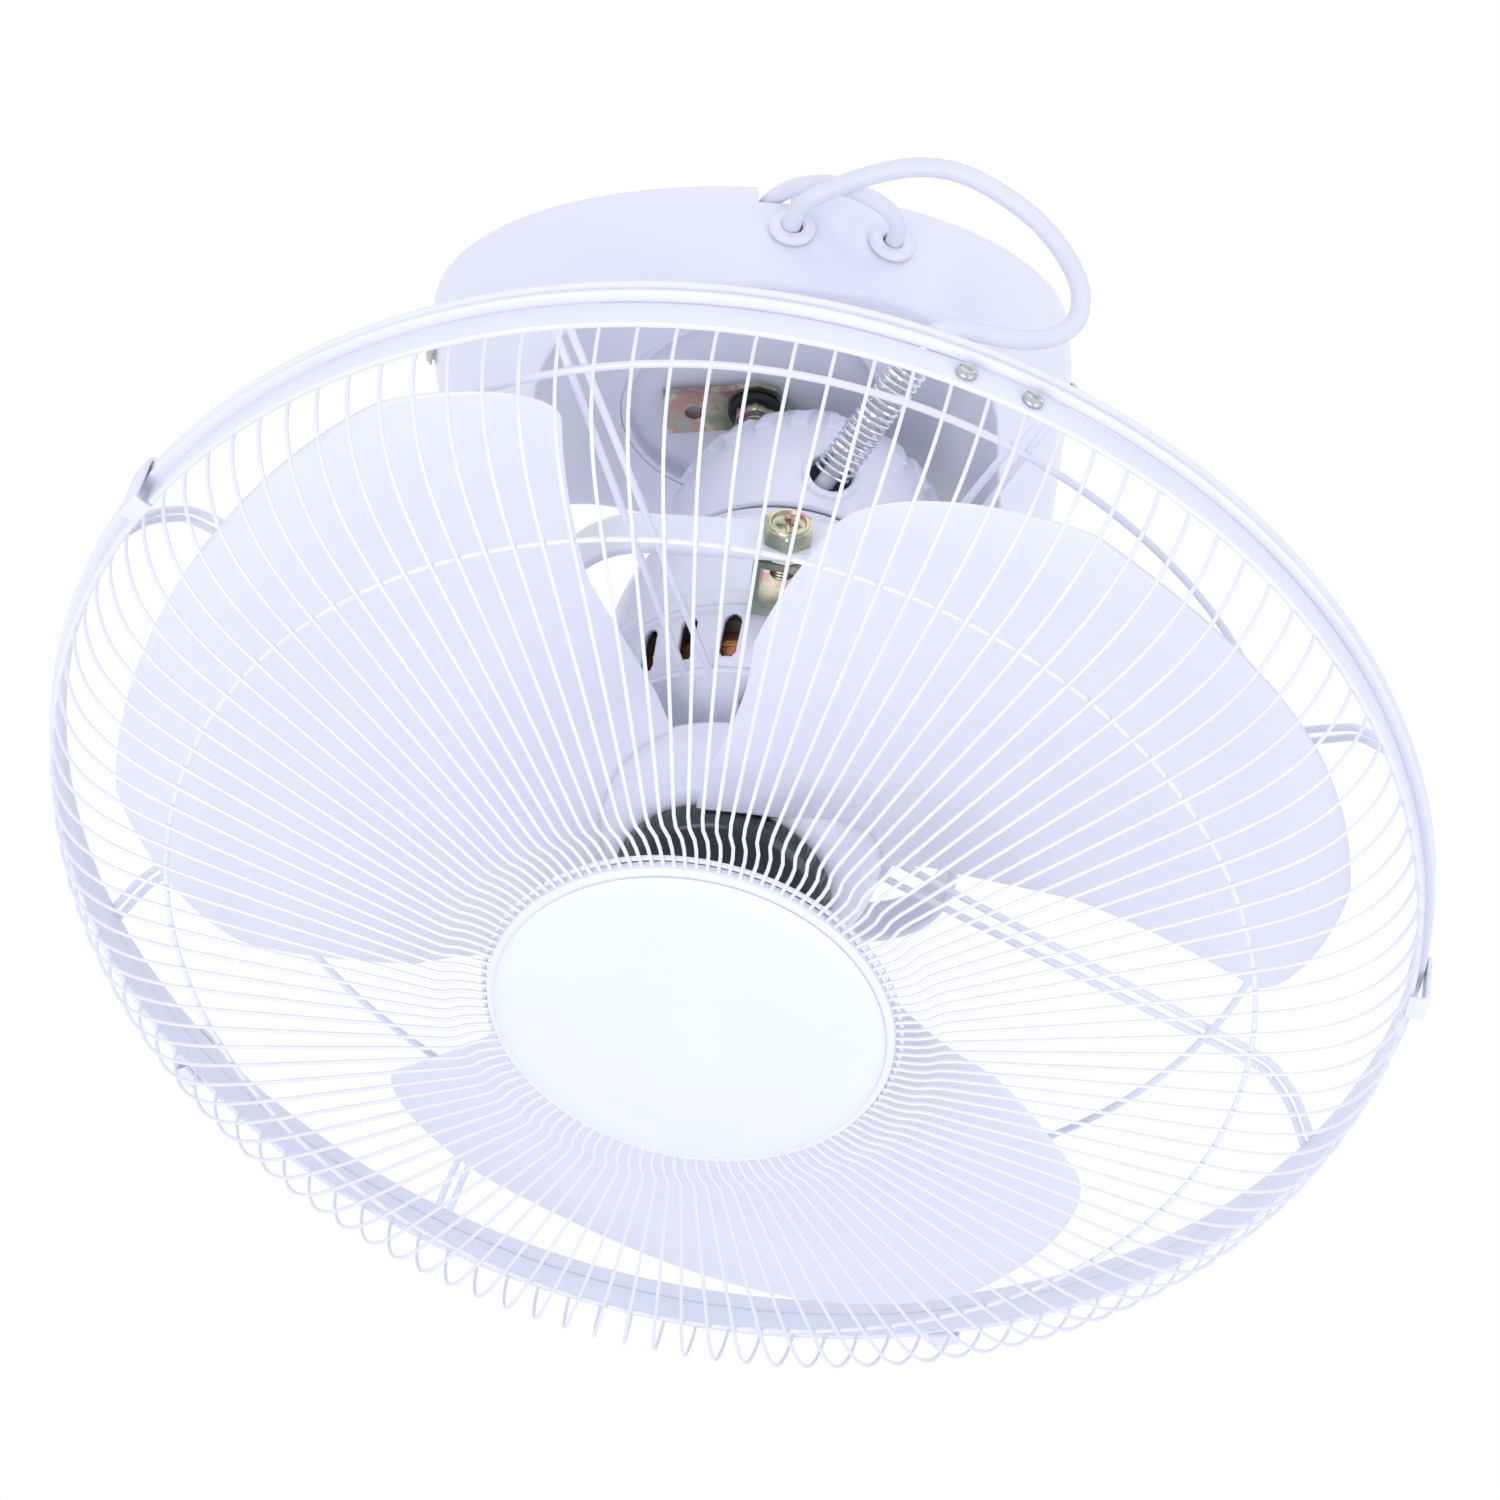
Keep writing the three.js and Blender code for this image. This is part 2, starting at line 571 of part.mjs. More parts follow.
function gearboxCover() {
  const wall = 2.2;
  const inside = BELL_SIDE.map(([r, z]) => [r - wall, z]).reverse();
  const web = [[BELL_RADIUS - wall - 1.4, 102.5], [6, 102.5], [6, 100], [BELL_RADIUS - wall - 0.6, 100]];
  const upper = inside.filter(([, z]) => z > 103);
  const lower = inside.filter(([, z]) => z < 100);
  let cover = turned([...BELL_SIDE, ...upper, ...web, ...lower], 24);
  const notch = box(30, 44, -1.8, 1.8, BELL_TOP - 3, BELL_TOP + 2);
  for (let k = 0; k < BELL_NOTCHES; k++) {
    cover = cover.subtract(notch.rotate([0, 0, (360 / BELL_NOTCHES) * k + 7.5]));
  }
  const inverse = head.matrixWorld.clone().invert();
  const out = springDirection.clone().transformDirection(inverse);
  const collar = aimed(disc(10.5, -4, 4.5), SPRING_START, out.toArray());
  const keep = disc(BELL_RADIUS - wall, 60, 100, 24);
  cover = cover.add(collar.subtract(keep));
  cover = cover.subtract(aimed(disc(7.4, 0.6, 9), SPRING_START, out.toArray()));
  return cover.subtract(aimed(disc(4.4, -12, 9), SPRING_START, out.toArray()));
}

place(head, "worm_wheel", wormWheel, nylon);
place(head, "gear_bracket", gearBracket(), steel);
place(head, "gearbox_cover", gearboxCover(), shellWhite);
place(head, "tail_stud", turned([[0, 96], [4, 96], [4, 102.8], [12, 102.8], [12, 105], [4, 105.5],
  [4, 134.5], [3, 135.5], [0, 135.5]], 14), steel);

// ---- Rotor: everything that turns with the blades ----
place(head, "worm", turned([[WORM_BORE, 68.6], [WORM_COLLAR, 68.6], ...WORM_RIDGES, [WORM_COLLAR, 89],
  [WORM_BORE, 89]], 10), steel);
place(head, "rotor_shaft", turned([[0, 91.5], [SHAFT_RADIUS - 0.8, 91.5], [SHAFT_RADIUS, 90.7],
  [SHAFT_RADIUS, -81], [0, -81]], 14), steel);
place(head, "rotor_core", tubeRing(31.5, SHAFT_RADIUS + GAP, -8, 24, 28), laminations);

const HUB_REAR = -45;
const HUB_FRONT = -70;
const HUB_BOSS = 14;
const LEAD_H = -44; // height of a blade's leading edge at the root, on the motor's side
const TRAIL_H = -80; // height of its trailing edge at the root, on the guard's side
const BLADE_ROOT = 38;
const FIRST_BLADE_DEG = 2;
const BLADE_SPAN_DEG = 92;
const BLADE_THICK = 2;

// Azimuth, in degrees from the blade's leading root, of the two edges of a blade at radius r.
const leadAt = (r) => -2 + 10 * Math.max(0, (r - 110) / 90) - 18 * Math.max(0, (r - 172) / 24) ** 2;
const trailAt = (r) => -BLADE_SPAN_DEG - 16 * Math.max(0, 1 - (r - 40) / 60) ** 2
  + 8 * Math.max(0, (r - 110) / 60) + 17 * Math.max(0, (r - 160) / 36) ** 2;

// A blade as a thin closed sheet: rows along the radius, columns from trailing to leading edge.
function bladeSheet() {
  const rows = 6;
  const columns = 5;
  const positions = [];
  for (const face of [0, 1]) {
    for (let i = 0; i <= rows; i++) {
      const r = BLADE_ROOT + (BLADE_RADIUS - BLADE_ROOT) * Math.sin((i / rows) * Math.PI / 2);
      for (let j = 0; j <= columns; j++) {
        const s = j / columns;
        const azimuth = (trailAt(r) + (leadAt(r) - trailAt(r)) * s) * RAD;
        const twist = 1 - 0.35 * (r - BLADE_ROOT) / (BLADE_RADIUS - BLADE_ROOT);
        const middle = (LEAD_H + TRAIL_H) / 2;
        const half = ((LEAD_H - TRAIL_H) / 2) * twist;
        const height = middle + half * Math.sin((s - 0.5) * Math.PI) - 3 * Math.sin(s * Math.PI);
        positions.push(r * Math.cos(azimuth), r * Math.sin(azimuth), height - face * BLADE_THICK);
      }
    }
  }
  const across = columns + 1;
  const faceStart = (rows + 1) * across;
  const index = [];
  const quad = (a, b, c, d) => index.push(a, b, c, a, c, d);
  for (let i = 0; i < rows; i++) {
    for (let j = 0; j < columns; j++) {
      const a = i * across + j;
      quad(a, a + across, a + across + 1, a + 1);
      const b = a + faceStart;
      quad(b, b + 1, b + across + 1, b + across);
    }
  }
  for (let j = 0; j < columns; j++) {
    quad(j, j + 1, j + 1 + faceStart, j + faceStart);
    const far = rows * across + j;
    quad(far + 1, far, far + faceStart, far + 1 + faceStart);
  }
  for (let i = 0; i < rows; i++) {
    const near = i * across;
    quad(near + across, near, near + faceStart, near + across + faceStart);
    const far = i * across + columns;
    quad(far, far + across, far + across + faceStart, far + faceStart);
  }
  const geometry = new THREE.BufferGeometry();
  geometry.setAttribute("position", new THREE.Float32BufferAttribute(positions, 3));
  geometry.setIndex(index);
  return solidOf(geometry);
}

function bladeSet() {
  const bore = SHAFT_RADIUS + GAP;
  const hub = turned([[bore, HUB_REAR + 6], [HUB_BOSS, HUB_REAR + 6], [HUB_BOSS, HUB_REAR],
    [HUB_RADIUS - 2, HUB_REAR], [HUB_RADIUS, HUB_REAR - 3], [HUB_RADIUS - 1, HUB_REAR - 12], [42, -65],
    [36, HUB_FRONT], [bore, HUB_FRONT]], 20);
  const blade = bladeSheet();
  const blades = repeat(3, (i) => blade.rotate([0, 0, 120 * i + FIRST_BLADE_DEG]));
  return union(hub, ...blades);
}

place(head, "blade_set", bladeSet(), bladeWhite);
place(head, "spinner_nut", turned([[0, -83.4], [12, -83.2], [24, -82], [33, -78.5], [35, -75.5],
  [35, HUB_FRONT - GAP], [SHAFT_RADIUS + GAP, HUB_FRONT - GAP], [SHAFT_RADIUS + GAP, -81.4], [0, -81.4]], 20),
blackPlastic);

// ---- Guards ----
const GUARD_PLATE = -29.2; // the rear guard's inner plate, on the front of the motor
const SPOKE_RADIUS = 1.7;
const SHOULDER = [203, -30];
const REAR_RING = [176, -32.1];
const RIM_TOP = -53;
const RIM_LOW = -59;
const RIM_SIDES = 36;
const BAND_SCREWS = [-77.2, -71.8]; // azimuths, in degrees
const BAND_MIDDLE = (BAND_TOP + BAND_BOTTOM) / 2;
const radial = (degrees) => [Math.cos(degrees * RAD), Math.sin(degrees * RAD), 0];

function rearRim() {
  const r = GUARD_RADIUS;
  const groove = (RIM_TOP + RIM_LOW) / 2;
  return turned([[r - 1, RIM_TOP], [r + 3, RIM_TOP], [r + 1.6, groove], [r + 3, RIM_LOW], [r - 1, RIM_LOW]],
    RIM_SIDES);
}

// The plate on the motor with its eight pairs of spokes, which end just above the rim.
function rearGuard() {
  let plate = tubeRing(54, 23, GUARD_PLATE - 1, GUARD_PLATE + 1, 24);
  for (let k = 0; k < 6; k++) {
    plate = plate.subtract(disc(6, -40, -20, 6).translate([40, 0, 0]).rotate([0, 0, 60 * k + 30]));
  }
  const at = (radius, degrees, z) => new THREE.Vector3(...radial(degrees)).multiplyScalar(radius).setZ(z);
  const pairs = repeat(8, (k) => [-5, 5].map((spread) => {
    const middle = 45 * k + 22.5;
    const outer = middle + spread * 0.12;
    const stops = [at(50, middle + spread, GUARD_PLATE), at(SHOULDER[0] - 5, outer, SHOULDER[1] + 0.6),
      at(SHOULDER[0] + 2, outer, SHOULDER[1] - 4), at(GUARD_RADIUS - 1.6, outer, RIM_TOP + 1.4)];
    return solidOf(wireTube(stops, SPOKE_RADIUS, 3));
  }));
  return wasm.Manifold.union([plate, ...pairs.flat()]);
}

// Radius and height of a front wire, from under the band in to the plate behind the badge.
const WIRE_ROUTE = [[216.5, BAND_BOTTOM - 0.65], [212.5, -84], [196, -101], [171, -110], [79, -128],
  [64, -129.4]];

// A ring with a corner half way between each two front wires.
const ringOf = (profile) => turned(profile, FRONT_WIRES).rotate([0, 0, 180 / FRONT_WIRES]);

function frontBand() {
  const r = GUARD_RADIUS;
  let band = ringOf([[r - 2.2, BAND_TOP], [r, BAND_TOP], [r, BAND_BOTTOM], [r - 2.2, BAND_BOTTOM]]);
  for (const azimuth of BAND_SCREWS) {
    band = band.subtract(aimed(disc(1.9, 200, 230, 8), [0, 0, BAND_MIDDLE], radial(azimuth)));
  }
  return band;
}

function frontGuard() {
  const middleRing = ringOf([[169.6, -108.6], [171, -107], [172.4, -108.6], [171, -110.2]]);
  const plate = ringOf([[52, -131.2], [67, -131.2], [67, -127.4], [52, -127.4]]);
  const wire = solidOf(wireTube(WIRE_ROUTE.map(([x, z]) => new THREE.Vector3(x, 0, z)), WIRE_RADIUS, 3));
  const wires = repeat(FRONT_WIRES, (i) => wire.rotate([0, 0, (360 / FRONT_WIRES) * i]));
  return wasm.Manifold.union([middleRing, plate, ...wires]);
}

place(head, "rear_rim", rearRim(), enamelWhite);
place(head, "rear_ring", solidOf(new THREE.TorusGeometry(REAR_RING[0], 1.6, 4, 28)
  .translate(0, 0, REAR_RING[1])), enamelWhite);
place(head, "front_band", frontBand(), enamelWhite);
place(head, "rear_guard", rearGuard(), enamelWhite);
const NUT_SEAT = GUARD_PLATE - 1 - GAP;
place(head, "guard_nut", turned([[BOSS_RADIUS + GAP, NUT_SEAT], [31, NUT_SEAT], [31, -34], [28, -36.5],
  [BOSS_RADIUS + GAP, -36.5]], 24), shellWhite);
place(head, "front_guard", frontGuard(), enamelWhite);
place(head, "badge", turned([[0, BADGE_FACE], [40, BADGE_FACE + 0.4], [57, BADGE_FACE + 1.2],
  [BADGE_RADIUS - 1, BADGE_FACE + 2.2], [BADGE_RADIUS, -131.5], [0, -131.5]], 30), shellWhite);
[64, 141, 210, 359].forEach((azimuth, i) => {
  const r = GUARD_RADIUS;
  const clip = box(r + 3.4, r + 5, -4.5, 4.5, -72, -51)
    .add(box(r - 1.5, r + 5, -4.5, 4.5, -72, -70.4))
    .add(box(r - 1.5, r + 5, -4.5, 4.5, -52.6, -51));
  place(head, `guard_clip_${i + 1}`, clip.rotate([0, 0, azimuth]), enamelWhite);
});
BAND_SCREWS.forEach((azimuth, i) => {
  const r = GUARD_RADIUS;
  const screw = turned([[0, r - 4], [1.5, r - 4], [1.5, r + GAP], [3.3, r + GAP], [3.2, r + 1.2],
    [2, r + 2.2], [0, r + 2.5]], 8);
  place(head, `band_screw_${i + 1}`, aimed(screw, [0, 0, BAND_MIDDLE], radial(azimuth)), steel);
});

// ---- Cords and the strain-relief spring, laid in the part's frame ----
const SPRING_CURLS = 20;
const SPRING_MEAN = 5.8;
const SPRING_WIRE = 0.7;
const springFoot = collarPlace.clone().addScaledVector(springDirection, 1.6);
const springLine = new THREE.LineCurve3(springFoot, new THREE.Vector3(...SPRING_TIP));

// The helix: centre-line points of the wire, straight for one wire diameter at each end.
function springPoints() {
  const side = new THREE.Vector3(0, 0, 1).cross(springDirection).normalize();
  const up = springDirection.clone().cross(side);
  const steps = SPRING_CURLS * 8;
  const points = [];
  for (let i = 0; i <= steps; i++) {
    const angle = (2 * Math.PI * i) / 8;
    const centre = springLine.getPoint(i / steps);
    centre.addScaledVector(side, SPRING_MEAN * Math.cos(angle));
    points.push(centre.addScaledVector(up, SPRING_MEAN * Math.sin(angle)));
  }
  const lead = points[0].clone().sub(points[1]).setLength(2 * SPRING_WIRE);
  const tail = points[steps].clone().sub(points[steps - 1]).setLength(2 * SPRING_WIRE);
  return [points[0].clone().add(lead), ...points, points[steps].clone().add(tail)];
}

// The least gap between two stretches of the wire that are more than half a curl apart.
function leastGap(points, radius) {
  let least = Infinity;
  for (let i = 0; i < points.length; i++) {
    for (let j = i + 5; j < points.length; j++) {
      least = Math.min(least, points[i].distanceTo(points[j]) - 2 * radius);
    }
  }
  return least;
}

const helix = springPoints();
console.log(`cord spring: least gap to itself ${leastGap(helix, SPRING_WIRE).toFixed(2)} mm`);
place(fan, "cord_spring", solidOf(wireTube(helix, SPRING_WIRE, 5)), spring);

const CLIP_LENGTH = 6;
const clipStart = new THREE.Vector3(...SPRING_TIP).addScaledVector(springDirection, 1.2);
const clipEnd = clipStart.clone().addScaledVector(springDirection, CLIP_LENGTH);
place(fan, "cord_clip", aimed(tubeRing(5.6, CORD_RADIUS + 0.5, 0, CLIP_LENGTH, 14), clipStart.toArray(),
  springDirection.toArray()), steel);

// The stretch of the head cord that the spring holds, from inside the bell to the clip.
const cordInside = collarPlace.clone().addScaledVector(springDirection, -10);
place(fan, "head_cord_sleeved", solidOf(tube(new THREE.LineCurve3(cordInside, clipEnd), CORD_RADIUS, 8, 5)),
  cordWhite);

// The free loop of the head cord, from inside the canopy through its grommet and round to the clip.
const cordOn = (distance) => clipEnd.clone().addScaledVector(springDirection, distance).toArray();
const HEAD_CORD = [[6.5, -48, -22], [6.5, -58, -22], [6.4, -68, -22], [10, -76, -21], [18, -82, -20],
  [31, -90, -20], [46, -96, -21], [60, -99, -26], [74, -98, -34], [86, -95, -43], [95, -91, -54],
  [99.5, -88, -66], [98, -85, -77], [91, -83, -83], [80, -82, -84.5], [68, -83, -84], [59, -83.5, -82.8],
  cordOn(3.5), cordOn(GAP)];
place(fan, "head_cord_loop", solidOf(tube(curveThrough(HEAD_CORD), CORD_RADIUS, 8, 22)), cordWhite);

// The supply lead, from inside the canopy through its grommet, up and back in over the top edge.
const SUPPLY_CORD = [[37.5, -44, -22], [39.5, -53, -22], [42.2, -63.5, -22.3], [42, -70, -23], [39, -75, -22],
  [33, -77, -18.5], [26, -77, -14.5], [18.5, -74.5, -9.5], [9, -70, -7], [2, -64, -6], [-3, -56, -6],
  [-8, -47, -7], [-14, -38, -8.5]];
place(fan, "supply_cord", solidOf(tube(curveThrough(SUPPLY_CORD), CORD_RADIUS - 0.3, 8, 18)), cordWhite);

export default fan;
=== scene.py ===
import json
import math

import bmesh
import bpy
import numpy as np
from mathutils import Euler, Matrix, Vector


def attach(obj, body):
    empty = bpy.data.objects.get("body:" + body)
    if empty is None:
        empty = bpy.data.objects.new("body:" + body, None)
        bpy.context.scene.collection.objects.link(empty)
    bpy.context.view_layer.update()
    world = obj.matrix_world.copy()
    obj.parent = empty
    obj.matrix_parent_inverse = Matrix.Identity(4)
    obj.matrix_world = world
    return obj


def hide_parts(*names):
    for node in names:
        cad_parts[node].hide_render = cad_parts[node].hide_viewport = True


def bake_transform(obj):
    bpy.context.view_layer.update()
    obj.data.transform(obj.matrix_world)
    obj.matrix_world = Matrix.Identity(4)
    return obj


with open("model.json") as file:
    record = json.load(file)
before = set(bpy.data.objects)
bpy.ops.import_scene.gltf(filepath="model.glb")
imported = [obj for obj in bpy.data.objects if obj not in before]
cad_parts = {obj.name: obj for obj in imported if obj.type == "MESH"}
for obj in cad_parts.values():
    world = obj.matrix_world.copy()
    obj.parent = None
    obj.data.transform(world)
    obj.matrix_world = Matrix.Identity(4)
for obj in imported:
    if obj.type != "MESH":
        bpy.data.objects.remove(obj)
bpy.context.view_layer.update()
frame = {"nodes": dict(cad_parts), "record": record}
scene = bpy.context.scene

# Orbital ceiling fan. Metres, +Z up, the origin on the ceiling face.
# The head hangs tilted: a turn of -8 degrees about X, then 11 about Y, round the gimbal's centre.
mm = 0.001
pivotHeight = -0.192
rollDegrees = -8
pitchDegrees = 11
rollTurn = Euler((math.radians(rollDegrees), 0, 0)).to_matrix().to_4x4()
pitchTurn = Euler((0, math.radians(pitchDegrees), 0)).to_matrix().to_4x4()
gimbalPlace = Matrix.Translation((0, 0, pivotHeight)) @ rollTurn
headPlace = gimbalPlace @ pitchTurn
headAxis = headPlace.to_3x3() @ Vector((0, 0, 1))

# camera
cameraSettings = {
    "place": (-0.1300, -1.1409, -1.1072),
    "yaw": 6.341,
    "pitch": 38.371,
    "roll": -0.817,
    "focalPixels": 4478.6,
    "imagePixels": 1500,
    "sensor": 36,
    "clip": (0.05, 30),
}


def makeCamera(s):
    # forward, right and up from yaw, pitch and roll, set as the columns of the camera's matrix
    yaw, pitch, roll = (math.radians(s[k]) for k in ("yaw", "pitch", "roll"))
    forward = Vector((math.sin(yaw) * math.cos(pitch), math.cos(yaw) * math.cos(pitch), math.sin(pitch)))
    level = Vector((math.cos(yaw), -math.sin(yaw), 0))
    rise = level.cross(forward)
    right = math.cos(roll) * level + math.sin(roll) * rise
    up = -math.sin(roll) * level + math.cos(roll) * rise
    data = bpy.data.cameras.new("camera")
    data.sensor_fit = "HORIZONTAL"
    data.sensor_width = s["sensor"]
    data.lens = s["focalPixels"] / s["imagePixels"] * s["sensor"]
    data.clip_start, data.clip_end = s["clip"]
    camera = bpy.data.objects.new("camera", data)
    turn = Matrix((right, up, -forward)).transposed().to_4x4()
    camera.matrix_world = Matrix.Translation(s["place"]) @ turn
    scene.collection.objects.link(camera)
    scene.camera = camera


makeCamera(cameraSettings)
scene.view_settings.view_transform = "Standard"
print("camera set")


# shader maths
class Wire:
    # one socket of a node tree: the operators add Math nodes, so a mask is written as a sum

    def __init__(self, tree, socket):
        self.tree = tree
        self.socket = socket

    def add(self, kind, settings=None, **inputs):
        # adds any node: its settings, then the values or links of its sockets, by name or as i and a number
        node = self.tree.nodes.new(kind)
        for name, value in (settings or {}).items():
            setattr(node, name, value)
        for name, value in inputs.items():
            socket = node.inputs[int(name[1:]) if name[1:].isdigit() else name]
            if isinstance(value, Wire):
                self.tree.links.new(value.socket, socket)
            else:
                socket.default_value = value
        return node

    def out(self, kind, output=0, settings=None, **inputs):
        return Wire(self.tree, self.add(kind, settings, **inputs).outputs[output])

    def maths(self, operation, a, b):
        return self.out("ShaderNodeMath", 0, {"operation": operation}, i0=a, i1=b)

    def __add__(self, other):
        return self.maths("ADD", self, other)

    __radd__ = __add__

    def __mul__(self, other):
        return self.maths("MULTIPLY", self, other)

    def step(self, low, high):
        # 0 below low, 1 above high, a smooth rise between
        return self.out("ShaderNodeMapRange", 0, {"interpolation_type": "SMOOTHSTEP"},
                        i0=self, i1=low, i2=high, i3=0.0, i4=1.0)

    def mixed(self, dark, light):
        # a colour between two, by this mask
        return self.out("ShaderNodeMix", 2, {"data_type": "RGBA"}, i0=self, i6=(*dark, 1), i7=(*light, 1))

    def ramp(self, stops):
        # a colour from a row of stops, by this mask
        node = self.add("ShaderNodeValToRGB", Fac=self)
        elements = node.color_ramp.elements
        while len(elements) < len(stops):
            elements.new(0.5)
        for element, (at, color) in zip(elements, stops):
            element.position = at
            element.color = (*color, 1)
        return Wire(self.tree, node.outputs[0])


def feed(shader, name, wire):
    wire.tree.links.new(wire.socket, shader.inputs[name])


def makeFinish(s):
    # a Principled material whose varying sockets are fed by one noise, or by a sum with a share for each
    material = bpy.data.materials.new(s["name"])
    material.use_nodes = True
    tree = material.node_tree
    shader = tree.nodes["Principled BSDF"]
    constants = {"Base Color": (*s["color"], 1), "Roughness": s["roughness"],
                 "Metallic": s.get("metallic", 0), **s.get("sockets", {})}
    for name, value in constants.items():
        shader.inputs[name].default_value = value
    place = Wire(tree, tree.nodes.new("ShaderNodeTexCoord").outputs["Object"])
    noises = {}
    for name, (scale, detail, *stretch) in s["noises"].items():
        where = place.out("ShaderNodeMapping", Vector=place, Scale=stretch[0] if stretch else (1, 1, 1))
        noises[name] = place.out("ShaderNodeTexNoise", Vector=where, Scale=scale, Detail=detail)
    for name, (low, high) in s.get("steps", {}).items():
        noises[name] = noises[name].step(low, high)

    def mask(shares):
        return noises[shares] if isinstance(shares, str) else sum(noises[k] * v for k, v in shares.items())

    if "paint" in s:
        shares, *colors = s["paint"]
        blend = mask(shares)
        feed(shader, "Base Color", blend.mixed(*colors) if len(colors) == 2 else blend.ramp(*colors))
    if "rough" in s:
        feed(shader, "Roughness", mask(s["rough"][1]) + s["rough"][0])
    if "relief" in s:
        shares, strength, depth = s["relief"]
        height = mask(shares)
        feed(shader, "Normal", place.out("ShaderNodeBump", Strength=strength, Distance=depth, Height=height))
    return material


